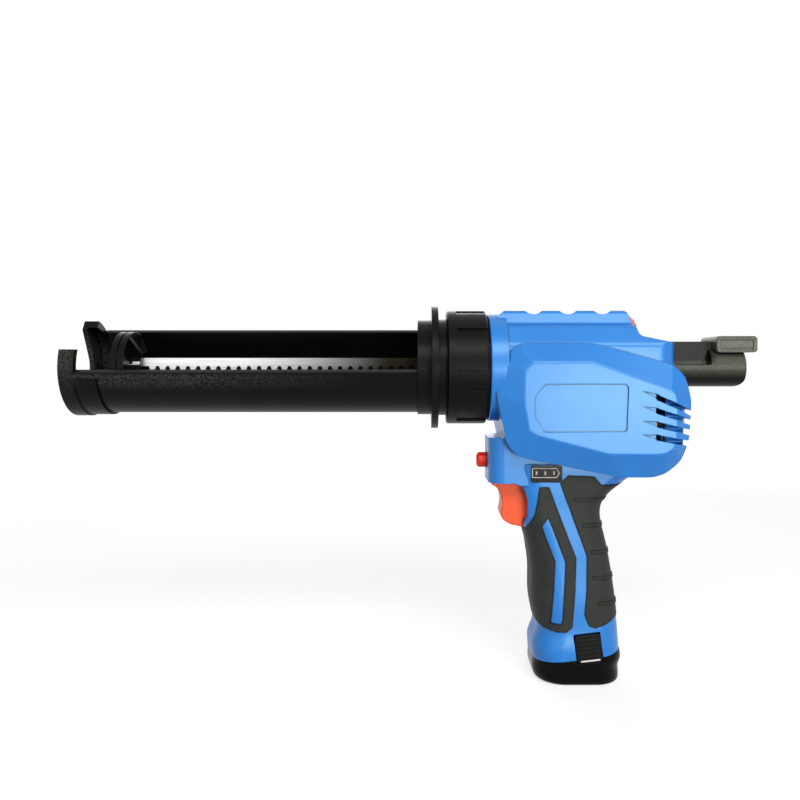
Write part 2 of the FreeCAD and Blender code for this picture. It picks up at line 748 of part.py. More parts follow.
def spur(points, start, width, bore):
    body = prism(points, "XZ", start, width)
    return body.cut(Part.makeCylinder(bore, 2 * width + 2 * abs(start), Vector(0, -abs(start) - width, 0),
                                      Vector(0, 1, 0)))


def bevel(teeth, mate, phase, pressure):
    """A bevel gear about Z: its apex is at the origin, its large end above."""
    module = n("bevel_module")
    pitch = module * teeth / 2
    cone = math.atan2(teeth, mate)
    slant = pitch / math.sin(cone)
    rise = pitch / math.tan(cone)
    virtual = pitch / math.cos(cone)
    base = virtual * math.cos(math.radians(pressure))
    half_pitch = (math.pi * module / 2 - n("backlash")) / (2 * virtual)
    flank = []
    for share in FLANK_SHARES:
        height = module * ((STUB_TIP_SHARE + STUB_ROOT_SHARE) * share - STUB_ROOT_SHARE)
        half = involute(virtual, base, half_pitch, virtual + height) * (virtual + height)
        radius = rise * math.tan(cone + math.atan(height / slant))
        flank.append((radius, half / (pitch + height * math.cos(cone))))
    large = rounded(tooth_ring(teeth, phase, flank))
    small = large.copy()
    small.scale((slant - n("bevel_face")) / slant)
    large.translate(Vector(0, 0, rise))
    small.translate(Vector(0, 0, rise * (slant - n("bevel_face")) / slant))
    return Part.makeLoft([small, large], True, True), rise


RACK_MODULE = n("rack_module")
rack_pinion = spur(
    spur_points(RACK_MODULE, n("pinion_teeth"), 90, RACK_TIP_SHARE * RACK_MODULE - n("backlash"),
                RACK_ROOT_SHARE * RACK_MODULE, 20, n("pinion_shift")),
    n("0 - pinion_width / 2"), n("pinion_width"), n("shaft_radius + sliver"))
node(shaped("drive_pinion_shape", rack_pinion), "drive_pinion", x="drive_x", z=PINION_Z)

SPUR_MODULE = n("spur_module")
stub = (STUB_TIP_SHARE * SPUR_MODULE, STUB_ROOT_SHARE * SPUR_MODULE, 25)
spur_start = n("0 - spur_y - spur_width")
spur_wheel = spur(spur_points(SPUR_MODULE, n("spur_teeth"), -90, *stub),
                  spur_start, n("spur_width"), n("shaft_radius + sliver"))
node(shaped("spur_gear_shape", spur_wheel), "spur_gear", x="drive_x", z=PINION_Z)
spur_small = spur(spur_points(SPUR_MODULE, n("spur_pinion_teeth"), 90 + 180 / n("spur_pinion_teeth"),
                              *stub),
                  spur_start, n("spur_width"), n("shaft_radius + sliver"))
node(shaped("spur_pinion_shape", spur_small), "spur_pinion", x="drive_x", z=MOTOR_Z)

wheel, wheel_rise = bevel(n("bevel_teeth"), n("bevel_pinion_teeth"), 0, 25)
hub = Part.makeCylinder(n("bevel_hub"), n("bevel_face"), Vector(0, 0, wheel_rise))
bore = Part.makeCylinder(n("shaft_radius + sliver"), n("4 * bevel_face"))
bevel_wheel = wheel.fuse(hub).cut(bore)
node(shaped("bevel_gear_shape", bevel_wheel), "bevel_gear", x="drive_x", z=MOTOR_Z, turn=ALONG_Y)

small, small_rise = bevel(n("bevel_pinion_teeth"), n("bevel_teeth"), 90 + 180 / n("bevel_pinion_teeth"),
                          25)
GEARBOX_X = "(drive_x + bevel_module * bevel_teeth / 2 + gearbox_gap)"
stem_length = n(f"{GEARBOX_X} - drive_x + gearbox_length / 2") - small_rise
stem = Part.makeCylinder(n("output_radius"), stem_length, Vector(0, 0, small_rise))
bevel_small = small.fuse(stem)
node(shaped("bevel_pinion_shape", bevel_small), "bevel_pinion", x="drive_x", z=MOTOR_Z, turn=ALONG_X)

PLATE_FACE = "(plate_half + plate)"
SHAFT_HALF = f"({PLATE_FACE} - face_gap)"
for label, height in (("cross_shaft", PINION_Z), ("counter_shaft", MOTOR_Z)):
    bar = turned(label, ((f"0 - {SHAFT_HALF}", "0"), (f"0 - {SHAFT_HALF}", "shaft_radius"),
                         (SHAFT_HALF, "shaft_radius"), (SHAFT_HALF, "0")))
    node(bar, label, x="drive_x", z=height, turn=X_TO_Y)

bushes = []
for name, start, flange_start in (("near", f"0 - {PLATE_FACE}", "0 - plate_half"),
                                  ("far", "plate_half", "plate_half - bush_flange_width")):
    for shaft, height in (("cross", PINION_Z), ("counter", MOTOR_Z)):
        place = {"turn": ALONG_Y, "x": "drive_x", "z": height}
        bushes.append(cut(
            f"bush_{name}_{shaft}",
            fused(f"bush_outside_{name}_{shaft}",
                  cylinder(f"bush_bar_{name}_{shaft}", "bush_radius", "plate", y=start, **place),
                  cylinder(f"bush_rim_{name}_{shaft}", "bush_flange", "bush_flange_width",
                           y=flange_start, **place)),
            cylinder(f"bush_bore_{name}_{shaft}", "shaft_radius + run_fit", "2 * plate_half + 2 * plate",
                     y=f"0 - {PLATE_FACE}", **place)))
node(grouped("shaft_bush_group", *bushes), "shaft_bushes")

plate_points = (("drive_x - plate_reach", f"{MOTOR_Z} - plate_over"),
                ("drive_x + plate_reach", f"{MOTOR_Z} - plate_over"),
                ("drive_x + plate_reach", f"{PINION_Z} + plate_over"),
                ("drive_x - plate_reach", f"{PINION_Z} + plate_over"))
for label, start in (("gear_plate_left", f"0 - {PLATE_FACE}"), ("gear_plate_right", "plate_half")):
    holes = [cylinder(f"{label}_hole_{i}", "bush_radius + sliver", "plate + 2 * overrun", ALONG_Y,
                      "drive_x",
                      f"{start} - overrun", height) for i, height in enumerate((PINION_Z, MOTOR_Z))]
    sheet_metal = slab(f"{label}_sheet", plate_points, "XZ", start, "plate", ("plate_round",) * 4)
    node(cut(f"{label}_cut", sheet_metal, *holes), label)

# Closed gearbox and motor, on one axis behind the bevel pinion
GEARBOX_BACK = f"({GEARBOX_X} + gearbox_length)"
MOTOR_BACK = f"({GEARBOX_BACK} + motor_length)"
SHAFT_END = f"({GEARBOX_BACK} - gearbox_length / 4)"
case = turned("gearbox_case", (
    (f"{GEARBOX_X} + gearbox_length / 2 + face_gap", "0"),
    (f"{GEARBOX_X} + gearbox_length / 2 + face_gap", "output_radius + run_fit"),
    (f"{GEARBOX_X} - gearbox_nose_length", "output_radius + run_fit"),
    (f"{GEARBOX_X} - gearbox_nose_length", "gearbox_nose"), (GEARBOX_X, "gearbox_nose"),
    (GEARBOX_X, "gearbox_radius"), (GEARBOX_BACK, "gearbox_radius"),
    (GEARBOX_BACK, "motor_shaft + run_fit"),
    (f"{SHAFT_END} - face_gap", "motor_shaft + run_fit"), (f"{SHAFT_END} - face_gap", "0"),
))
node(case, "gearbox_case", z=MOTOR_Z)
can = turned("motor_can", (
    (GEARBOX_BACK, "motor_shaft + run_fit"), (GEARBOX_BACK, "motor_radius"), (MOTOR_BACK, "motor_radius"),
    (MOTOR_BACK, "motor_radius - motor_wall"),
    (f"{GEARBOX_BACK} + motor_wall", "motor_radius - motor_wall"),
    (f"{GEARBOX_BACK} + motor_wall", "motor_shaft + run_fit"),
))
node(can, "motor_can", z=MOTOR_Z)
end_cap = turned("motor_end_cap", (
    (MOTOR_BACK, "motor_shaft + run_fit"), (MOTOR_BACK, "motor_radius"),
    (f"{MOTOR_BACK} + motor_cap / 2", "motor_radius"),
    (f"{MOTOR_BACK} + motor_cap / 2", "motor_radius / 2"),
    (f"{MOTOR_BACK} + motor_cap", "motor_radius / 2"),
    (f"{MOTOR_BACK} + motor_cap", "motor_shaft + run_fit"),
))
node(end_cap, "motor_end_cap", z=MOTOR_Z)
MAGNET_GAP_SHARE = 1.06
magnets = turned("motor_magnets", (
    (f"{GEARBOX_BACK} + rotor_margin", f"{MAGNET_GAP_SHARE} * rotor_radius"),
    (f"{GEARBOX_BACK} + rotor_margin", "motor_radius - motor_wall - sliver"),
    (f"{MOTOR_BACK} - rotor_margin", "motor_radius - motor_wall - sliver"),
    (f"{MOTOR_BACK} - rotor_margin", f"{MAGNET_GAP_SHARE} * rotor_radius"),
))
node(magnets, "motor_magnets", z=MOTOR_Z)
armature = turned("motor_armature", (
    (SHAFT_END, "0"), (SHAFT_END, "motor_shaft"), (f"{GEARBOX_BACK} + rotor_margin", "motor_shaft"),
    (f"{GEARBOX_BACK} + rotor_margin", "rotor_radius"), (f"{MOTOR_BACK} - rotor_margin", "rotor_radius"),
    (f"{MOTOR_BACK} - rotor_margin", "motor_shaft"),
    (f"{MOTOR_BACK} + motor_cap + motor_tail", "motor_shaft"),
    (f"{MOTOR_BACK} + motor_cap + motor_tail", "0"),
))
node(armature, "motor_armature", z=MOTOR_Z)

guide = cut(
    "rod_guide_cut",
    block("rod_guide_block", (f"{TAIL} - guide_length", TAIL), ("0 - guide_half", "guide_half"),
          ("0 - guide_bottom", "guide_top")),
    block("rod_guide_hole", (f"{TAIL} - guide_length - overrun", f"{TAIL} + overrun"), *ROD_HOLE),
)
node(guide, "rod_guide")

# Body housing: two shells that meet on the middle plane. Outlines are shares of the body's sizes.
upper_side_shares = (
    (0.018, -0.56), (0.018, 0.90), (0.060, 1.00), (0.751, 1.00), (0.781, 0.688), (0.796, 0.543),
    (1.000, 0.405), (1.000, -0.56),
)
upper_side_round_shares = (0, 0.05, 0.06, 0.10, 0.08, 0.10, 0.05, 0)
upper_front_shares = ((1.0, -0.56), (1.0, 0.39), (0.76, 0.716), (0.56, 0.752), (0.45, 1.0))
upper_front_round_shares = (0, 0.18, 0.10, 0.07, 0.10)
tail_round_share = 0.4
bulge_rim_shares = (
    (0.000, 0.161), (0.118, 0.000), (0.496, 0.000), (0.904, 0.160), (0.968, 0.247),
    (1.000, 0.422), (0.987, 0.720), (0.947, 0.877), (0.864, 0.975), (0.798, 1.000),
    (0.640, 1.000), (0.114, 0.848), (0.053, 0.759), (0.000, 0.396),
)
bulge_rim_round_shares = (
    0.13, 0.15, 0.60, 0.20, 0.20, 0.50, 0.50, 0.28, 0.28, 0.25, 0.30, 0.18, 0.18, 0.35,
)
bulge_panel_shares = (
    (0.136, 0.205), (0.180, 0.144), (0.478, 0.144), (0.877, 0.348), (0.904, 0.384),
    (0.912, 0.498), (0.904, 0.714), (0.890, 0.778), (0.851, 0.816), (0.806, 0.821),
    (0.557, 0.819), (0.195, 0.682), (0.156, 0.646), (0.132, 0.435),
)
label_shares = (
    (0.185, 0.397), (0.240, 0.302), (0.645, 0.302), (0.660, 0.328), (0.651, 0.653),
    (0.230, 0.657), (0.185, 0.537),
)
grip_section_shares = (
    (0.335, -1.640, 1.600, 0.866, 0.591),
    (0.381, -1.580, 1.320, 0.866, 0.591),
    (0.421, -1.536, 0.936, 0.862, 0.591),
    (0.456, -1.500, 0.680, 0.858, 0.591),
    (0.496, -1.452, 0.560, 0.854, 0.591),
    (0.537, -1.384, 0.568, 0.858, 0.591),
    (0.583, -1.260, 0.640, 0.866, 0.591),
    (0.646, -1.160, 0.736, 0.878, 0.591),
    (0.773, -1.100, 0.880, 0.913, 0.630),
    (0.866, -1.032, 0.952, 0.933, 0.630),
    (0.915, -0.992, 0.980, 0.945, 0.630),
    (0.941, -1.048, 0.996, 0.972, 0.669),
    (0.969, -1.108, 1.004, 0.996, 0.669),
    (1.010, -1.104, 1.004, 1.000, 0.669),
    (1.062, -1.096, 1.000, 1.000, 0.669),
)
notch_shares = (
    (-2.400, 0.403), (-1.520, 0.403), (-1.340, 0.421), (-1.248, 0.462), (-1.248, 0.519),
    (-1.344, 0.557), (-1.440, 0.568), (-2.400, 0.568),
)
vent_shares = (((0.798, 0.398), (1.0, 0.524)), ((0.798, 0.499), (1.0, 0.593)),
               ((0.798, 0.598), (1.0, 0.669)), ((0.798, 0.694), (1.0, 0.751)))
screw_shares = ((0.132, -0.117), (0.553, -0.140), (0.825, 0.043), (0.868, 0.879),
                (0.061, 0.621), (0.333, 0.848))
DROP = n("joint_drop")


def beside(shares):
    """Points in the side view, from shares of the body's length and height."""
    length, height = n("bulge_length"), n("bulge_height")
    return [(n("nose_x") + length * u, n("bulge_top") - height * v) for u, v in shares]


def below(shares):
    """Points in the side view, from shares of the grip's depth and drop."""
    return [(n("grip_depth") * u, -DROP * v) for u, v in shares]


def inset(points, depth):
    """An outline whose sides are moved inward."""
    corners = [Vector(a, b, 0) for a, b in points]
    area = sum(a.x * b.y - b.x * a.y for a, b in zip(corners, corners[1:] + corners[:1]))
    turn = 1 if area > 0 else -1
    result = []
    for i, corner in enumerate(corners):
        first = (corner - corners[i - 1]).normalize()
        second = (corners[(i + 1) % len(corners)] - corner).normalize()
        inward = Vector(-first.y - second.y, first.x + second.x, 0) * turn
        step = inward * (2 * depth / inward.Length ** 2)
        result.append((corner.x + step.x, corner.y + step.y))
    return result


def bulge(depth):
    core = n("bulge_core_half") - depth
    rim = inset(beside(bulge_rim_shares), depth)
    panel = inset(beside(bulge_panel_shares), depth)
    solid = prism(rim, "XZ", -core, 2 * core)
    for side in (-1, 1):
        wires = [flat(rim, "XZ", side * core).OuterWire,
                 flat(panel, "XZ", side * (n("bulge_half") - depth)).OuterWire]
        solid = solid.fuse(Part.makeLoft(wires, True, True))
    return solid.removeSplitter()


def upper(depth):
    half = n("upper_half")
    height = n("spine_height")
    long = n("upper_length")
    profile = [(n("nose_x") + long * u, height * v) for u, v in upper_side_shares]
    section = [(half * u, height * v) for u, v in upper_front_shares]
    section += [(-a, b) for a, b in reversed(section)]
    plan = [(n("nose_x"), -half), (n(TAIL), -half), (n(TAIL), half), (n("nose_x"), half)]
    profile_radii = [height * share for share in upper_side_round_shares]
    section_radii = [height * share for share in upper_front_round_shares]
    section_radii += section_radii[::-1]
    tail = half * tail_round_share
    if depth:
        profile_radii = section_radii = ()
    solid = prism(inset(profile, depth), "XZ", -2 * half, 4 * half, profile_radii)
    solid = solid.common(prism(inset(section, depth), "YZ", n("nose_x"), long, section_radii))
    return solid.common(prism(inset(plan, depth), "XY", -2 * height, 4 * height, (0, tail, tail, 0)))


def grip_wire(section, depth, drop, base=0):
    share, front, back, half, corner = section
    front = n("grip_depth") * front + depth
    back = n("grip_depth") * back - depth
    half = n("grip_half") * half - depth
    radius = n("grip_half") * corner - depth
    wire = rounded([(front, -half), (back, -half), (back, half), (front, half)], [radius] * 4)
    wire.translate(Vector(0, 0, -base - drop * share))
    return wire


def grip(depth):
    return Part.makeLoft([grip_wire(section, depth, DROP) for section in grip_section_shares], True,
                         False)


def head(depth):
    front, back, half = n("0 - head_reach") + depth, n("head_back"), n("head_half") - depth
    radius = n("head_round") - depth
    low = n("0 - head_bottom") + depth
    return prism([(front, -half), (back, -half), (back, half), (front, half)], "XY", low,
                 n("0 - head_top") - depth - low, (radius, 0, 0, radius))


def nose(depth):
    return Part.makeCylinder(n("nose_radius") - depth, n("nose_length") - depth,
                             Vector(n(NOSE_FRONT) + depth, 0, 0), Vector(1, 0, 0))


def brick(x, y, z):
    """A plain box between pairs of formulas."""
    low = Vector(n(x[0]), n(y[0]), n(z[0]))
    size = Vector(n(x[1]), n(y[1]), n(z[1])) - low
    return Part.makeBox(size.x, size.y, size.z, low)


def rod_along(axis, radius, start, length):
    return Part.makeCylinder(n(radius), n(length), Vector(*[n(part) for part in start]), axis)


def both_sides(x, y, z):
    """A box on each side of the middle plane."""
    near = (f"0 - ({y[1]})", f"0 - ({y[0]})")
    return [brick(x, near, z), brick(x, y, z)]


X_AXIS, Y_AXIS = Vector(1, 0, 0), Vector(0, 1, 0)
WALL = n("wall")
WIDE = "2 * bulge_half"
LEAN = n("grip_lean")
ACROSS = ("0 - bulge_half", "bulge_half")

rounded_bulge = bulge(0)
past_core = n("bulge_core_half + overrun / 2")
bulge_edges = [e for e in rounded_bulge.Edges if max(abs(v.Y) for v in e.Vertexes) > past_core]
rounded_bulge = rounded_bulge.makeFillet(n("bulge_round"), bulge_edges)
rim_radii = [n("bulge_height") * share for share in bulge_rim_round_shares]
rounded_bulge = rounded_bulge.common(prism(beside(bulge_rim_shares), "XZ", n("0 - bulge_half"), n(WIDE),
                                           rim_radii))
nose_front = nose(0)
front_edge = min(nose_front.Edges, key=lambda e: e.BoundBox.XMax)
nose_front = nose_front.makeFillet(n("nose_round"), [front_edge])
outside = nose_front.fuse([upper(0), rounded_bulge, grip(0), head(0)])
cavity = nose(WALL).fuse([upper(WALL), bulge(WALL), grip(WALL), head(WALL)])


def under_joint(gap):
    """Everything under the plane where the battery meets the grip."""
    big = n("2 * joint_drop")
    solid = Part.makeBox(big, big, big, Vector(-big / 2, -big / 2, -big - n(gap)))
    solid.rotate(Vector(), Y_AXIS, -LEAN)
    solid.translate(Vector(0, 0, -DROP))
    return solid


SWITCH_FRONT = "(trigger_travel + switch_gap - trigger_back)"
BUTTON_BACK = "(button_length - button_front)"
BUTTON_SWITCH = f"({BUTTON_BACK} + button_travel + switch_gap)"
GRIP_WIDE = "grip_half"
SADDLES = (
    (f"{GEARBOX_X} + gearbox_length / 2", "gearbox_radius"),
    (f"{MOTOR_BACK} - saddle", "motor_radius"),
)
supports = []
for place, radius in SADDLES:
    saddle = brick((f"{place} - saddle / 2", f"{place} + saddle / 2"), ACROSS,
                   ("bulge_top - bulge_height", MOTOR_Z))
    supports.append(saddle.cut(rod_along(X_AXIS, f"{radius} + face_gap / 3",
                                         (f"{place} - saddle", "0", MOTOR_Z), "2 * saddle")))
for shift in ("drive_x - rib_reach", "drive_x + rib_reach"):
    supports += both_sides((f"{shift} - rib / 2", f"{shift} + rib / 2"), (PLATE_FACE, "bulge_half"),
                           (f"{MOTOR_Z} - plate_over + plate_round",
                            f"{PINION_Z} + plate_over - plate_round"))
supports += both_sides((f"{SWITCH_FRONT} + rib", f"{SWITCH_FRONT} + 2 * rib"), ("switch_half", GRIP_WIDE),
                       ("0 - switch_bottom", "0 - switch_top"))
supports += both_sides((f"{BUTTON_SWITCH} + rib", f"{BUTTON_SWITCH} + 2 * rib"),
                       ("button_switch_half", GRIP_WIDE),
                       ("0 - button_drop - button_switch_half", "button_switch_half - button_drop"))
for shift in ("board_x + rib", "board_x + board_length - 2 * rib"):
    supports += both_sides((shift, f"{shift} + rib"), ("board_half - rib / 2", "bulge_half"),
                           ("0 - board_drop - ledge", "0 - board_drop"))
DIAL_SIDE = "(dial_half + dial_side_gap)"
DIAL_BOX_X = "(dial_x - 2 * dial_box_half + dial_shaft)"
supports.append(brick((f"{DIAL_BOX_X} + rib / 2", f"{DIAL_BOX_X} + rib"),
                      (DIAL_SIDE, f"{DIAL_SIDE} + dial_box"),
                      ("dial_height + dial_box_half", "spine_height")))

screw_places = beside(screw_shares)
for x, z in screw_places:
    boss_bar = Part.makeCylinder(n("screw_boss_radius"), n(WIDE), Vector(x, n("0 - bulge_half"), z),
                                 Y_AXIS)
    supports.append(boss_bar)
ribs = supports[0].fuse(supports[1:]).common(cavity)
shell = outside.cut(cavity).fuse(ribs)

# Openings in the shell. The trigger has a slot as wide as itself and as deep as its travel.
trigger_shares = (
    (-2.250, 0.405), (-1.968, 0.422), (-1.856, 0.447), (-1.816, 0.481), (-1.864, 0.519),
    (-1.808, 0.540), (-1.640, 0.555), (-1.372, 0.563),
)
trigger_points = below(trigger_shares)
trigger_points += [(n("0 - trigger_back"), trigger_points[-1][1]),
                   (n("0 - trigger_back"), trigger_points[0][1])]
trigger_room = trigger_points[:-2] + [(x + n("trigger_travel"), z) for x, z in trigger_points[-2:]]
trigger_slot = prism(inset(trigger_room, n("0 - face_gap")), "XZ", n("0 - trigger_half - face_gap"),
                     n("2 * (trigger_half + face_gap)"))
openings = [under_joint("0"), trigger_slot,
            prism(below(notch_shares), "XZ", n("0 - bulge_half"), n(WIDE))]
openings.append(rod_along(X_AXIS, "boss_waist", (f"{NOSE_FRONT} - overrun", "0", "0"),
                          "wall + 2 * overrun"))
openings.append(brick((f"{TAIL} - guide_length", f"{TAIL} + overrun"),
                      ("0 - guide_half - sliver", "guide_half + sliver"),
                      ("0 - guide_bottom - sliver", "guide_top + sliver")))
openings.append(rod_along(X_AXIS, "button_radius + face_gap",
                          ("0 - head_reach - overrun", "0", "0 - button_drop"),
                          "wall + 2 * overrun"))
openings.append(rod_along(Y_AXIS, "dial_radius + dial_side_gap",
                          ("dial_x", f"0 - {DIAL_SIDE}", "dial_height"),
                          f"2 * {DIAL_SIDE}"))
openings.append(brick(("dial_x - dial_radius / 2", "dial_x + dial_radius / 2"),
                      (f"0 - {DIAL_SIDE}", DIAL_SIDE), ("dial_height", "spine_height + overrun")))
for i in range(int(n("scallops"))):
    place = f"nose_x + scallop_start + {i} * scallop_pitch"
    openings.append(rod_along(Y_AXIS, "scallop_radius",
                              (place, "0 - upper_half", "spine_height - scallop_depth + scallop_radius"),
                              "2 * upper_half"))
for start, end in vent_shares:
    (x0, z0), (x1, z1) = beside((start, end))
    half = n("vent_height / 2")
    slope = (z1 - z0) / (x1 - x0)
    far = n("overrun")
    quad = [(x0, z0 - half), (x1 + far, z1 - half + slope * far), (x1 + far, z1 + half + slope * far),
            (x0, z0 + half)]
    for start_y in ("0 - bulge_half", "vent_core"):
        openings.append(prism(quad, "XZ", n(start_y), n("bulge_half - vent_core")))
    tip = x0 - n("vent_groove")
    wedge = [(tip, z0 - slope * n("vent_groove")), (x0 + half, z0 - half), (x0 + half, z0 + half)]
    for start_y in ("0 - bulge_half - overrun", "bulge_half - vent_groove_depth"):
        openings.append(prism(wedge, "XZ", n(start_y), n("overrun + vent_groove_depth")))
for start_y in ("0 - bulge_half - overrun", "bulge_half - label_depth"):
    openings.append(prism(beside(label_shares), "XZ", n(start_y), n("overrun + label_depth"),
                          [n("pad_round")] * len(label_shares)))
for x, z in screw_places:
    seat = Vector(x, n("screw_seat"), z)
    openings.append(Part.makeCylinder(n("screw_head_radius + face_gap"), n("bulge_half"), seat, Y_AXIS))
    openings.append(Part.makeCylinder(n("screw_radius + sliver"), n("screw_length + overrun"),
                                      seat - Y_AXIS * n("screw_length"), Y_AXIS))
gauge_side_share = grip_section_shares[1][3]
GAUGE_SIDE = f"(grip_half * {gauge_side_share})"
gauge_box = (("gauge_x", "0 - gauge_drop"), ("gauge_x + gauge_length", "0 - gauge_drop"),
             ("gauge_x + gauge_length", "0 - gauge_drop - gauge_height"),
             ("gauge_x", "0 - gauge_drop - gauge_height"))
openings.append(prism(numbers(gauge_box), "XZ", n(f"0 - {GAUGE_SIDE} - overrun"),
                      n("overrun + gauge_depth"),
                      [n("gauge_round")] * 4))
FOOT = "(0 - joint_drop - base_height)"
LEAN_TURN = Rotation(Y_AXIS, -LEAN)
TERMINAL_Z = "(stick_length + latch_gap)"
LATCH_TOP = "(latch_bottom + latch_height)"
LATCH_FACE = "(grip_half + latch_proud)"
LATCH_BACK = "(grip_half - latch_thick)"


def leaned(shape):
    """A shape drawn upright on the foot, tilted into the battery's line of travel."""
    copy = shape.copy()
    copy.rotate(Vector(), Y_AXIS, -LEAN)
    copy.translate(Vector(0, 0, n(FOOT)))
    return copy


latch_x = ("latch_x - latch_half - latch_gap", "latch_x + latch_half + latch_gap")
openings += [leaned(part) for part in both_sides(latch_x,
                                                 (f"{LATCH_BACK} - latch_travel - latch_gap",
                                                  "2 * grip_half"),
                                                 ("0", f"{LATCH_TOP} + latch_gap"))]

# Rubber pads lie in recesses of the grip; each region is drawn in the side view
front_pad_shares = (
    (-0.988, 0.413), (-0.760, 0.413), (-0.496, 0.515), (-0.120, 0.657), (-0.148, 0.767),
    (-0.224, 0.892), (-0.360, 0.908), (-0.600, 0.909), (-0.880, 0.901), (-2.000, 0.814),
    (-2.000, 0.606), (-1.304, 0.569), (-1.100, 0.511), (-1.040, 0.467),
)
front_stripe_shares = (
    (-0.784, 0.519), (-0.928, 0.548), (-0.832, 0.589), (-0.616, 0.669), (-0.652, 0.767),
    (-0.724, 0.880), (-0.492, 0.882), (-0.456, 0.869), (-0.408, 0.767), (-0.368, 0.672),
    (-0.736, 0.533),
)
rear_pad_shares = (
    (-0.304, 0.372), (-0.496, 0.399), (0.136, 0.649), (0.124, 0.767), (0.068, 0.848),
    (0.176, 0.887), (0.320, 0.894), (0.576, 0.883), (2.000, 0.802), (2.000, 0.405),
    (0.488, 0.405), (0.320, 0.376),
)
bead_shares = ((-0.16, 0.447, 1.4), (0.05, 0.537, 1.4), (0.244, 0.629, 1.4), (0.268, 0.716, 1.4),
               (0.400, 0.803, 1.4))
bead_slope_share = 0.012


def layer(region, proud, depth):
    """What lies within a region of the side view, between two depths of the grip's surface."""
    return region.common(grip(-n(proud))).cut(grip(n(depth)))


front_region = prism(below(front_pad_shares), "XZ", n("0 - bulge_half"), n(WIDE))
stripe = prism(below(front_stripe_shares), "XZ", n("0 - bulge_half"), n(WIDE))
rear_region = prism(below(rear_pad_shares), "XZ", n("0 - bulge_half"), n(WIDE))
pads = {"front": layer(front_region.cut(stripe), "pad_proud", "pad_depth")}
beads = []
for front, drop, back in bead_shares:
    quad = below(((front, drop), (back, drop + bead_slope_share), (back, drop + 2 * bead_slope_share),
                  (front, drop + bead_slope_share)))
    beads.append(prism(quad, "XZ", n("0 - bulge_half"), n(WIDE)))
bead_layer = layer(beads[0].fuse(beads[1:]).common(rear_region), "ridge_bead", "pad_depth")
pads["rear"] = layer(rear_region, "pad_proud", "pad_depth").fuse(bead_layer)
openings.append(layer(front_region.cut(stripe), "2 * ridge_bead", "pad_depth + pad_joint"))
openings.append(layer(rear_region, "2 * ridge_bead", "pad_depth + pad_joint"))

TERMINAL = (("0 - terminal_front", "terminal_front"), ("0 - terminal_half", "terminal_half"),
            (TERMINAL_Z, f"{TERMINAL_Z} + terminal_height"))
terminal_ribs = [leaned(part) for part in both_sides(("0 - rib / 2", "rib / 2"),
                                                     ("terminal_half", "grip_half"), TERMINAL[2])]
shell = shell.fuse([part.common(cavity) for part in terminal_ribs])
shell = shell.cut(openings)

far = n("2 * joint_drop")
seam = n("seam_gap")
halves = {
    "left": Part.makeBox(2 * far, far, 2 * far, Vector(-far, -far - seam, -far)),
    "right": Part.makeBox(2 * far, far, 2 * far, Vector(-far, seam, -far)),
}
above_blocks = rounded_bulge.fuse([head(0), nose_front])
for side, space in halves.items():
    node(shaped(f"housing_{side}_shape", shell.common(space)), f"housing_{side}")
    for name, pad in pads.items():
        node(shaped(f"{name}_grip_{side}_shape",
                    pad.common(space).cut([above_blocks, under_joint("0"), trigger_slot])),
             f"{name}_grip_{side}")

screws = []
for i, (x, z) in enumerate(screw_places):
    u, v = screw_shares[i]
    place = {"turn": ALONG_Y, "x": f"nose_x + bulge_length * {u}",
             "z": f"bulge_top - bulge_height * ({v})"}
    screws.append(fused(
        f"housing_screw_{i}",
        cylinder(f"screw_top_{i}", "screw_head_radius", "screw_head", y="screw_seat", **place),
        cylinder(f"screw_shank_{i}", "screw_radius", "screw_length", y="screw_seat - screw_length",
                 **place)))
node(grouped("screw_group", *screws), "housing_screws")

# Controls
trigger_round_shares = (0.04, 0.32, 0.32, 0.40, 0.24, 0.16, 0.32, 0.16, 0, 0)
lever = prism(trigger_points, "XZ", n("0 - trigger_half"), n("2 * trigger_half"),
              [n("grip_depth") * share for share in trigger_round_shares])
behind = n("0 - trigger_back - overrun / 3")
below_top = trigger_points[0][1] - n("sliver")
rim = [edge for edge in lever.Edges
       if edge.BoundBox.YLength < n("sliver") and edge.BoundBox.XMax < behind
       and edge.BoundBox.ZMax < below_top]
lever = lever.makeFillet(n("trigger_round"), rim)
SWITCH_MIDDLE = "(0 - (switch_top + switch_bottom) / 2)"
lever = lever.fuse(rod_along(X_AXIS, "trigger_stem",
                             ("0 - trigger_back - overrun / 3", "0", SWITCH_MIDDLE),
                             "trigger_stem_length + overrun / 3"))
node(shaped("trigger_shape", lever), "trigger")

switch = cut(
    "trigger_switch_cut",
    block("trigger_switch_box", (SWITCH_FRONT, f"{SWITCH_FRONT} + switch_length"),
          ("0 - switch_half", "switch_half"),
          ("0 - switch_bottom", "0 - switch_top")),
    cylinder("trigger_switch_bore", "trigger_stem + run_fit", "trigger_stem_length + overrun",
             x=f"{SWITCH_FRONT} - overrun", z=SWITCH_MIDDLE),
)
node(switch, "trigger_switch")

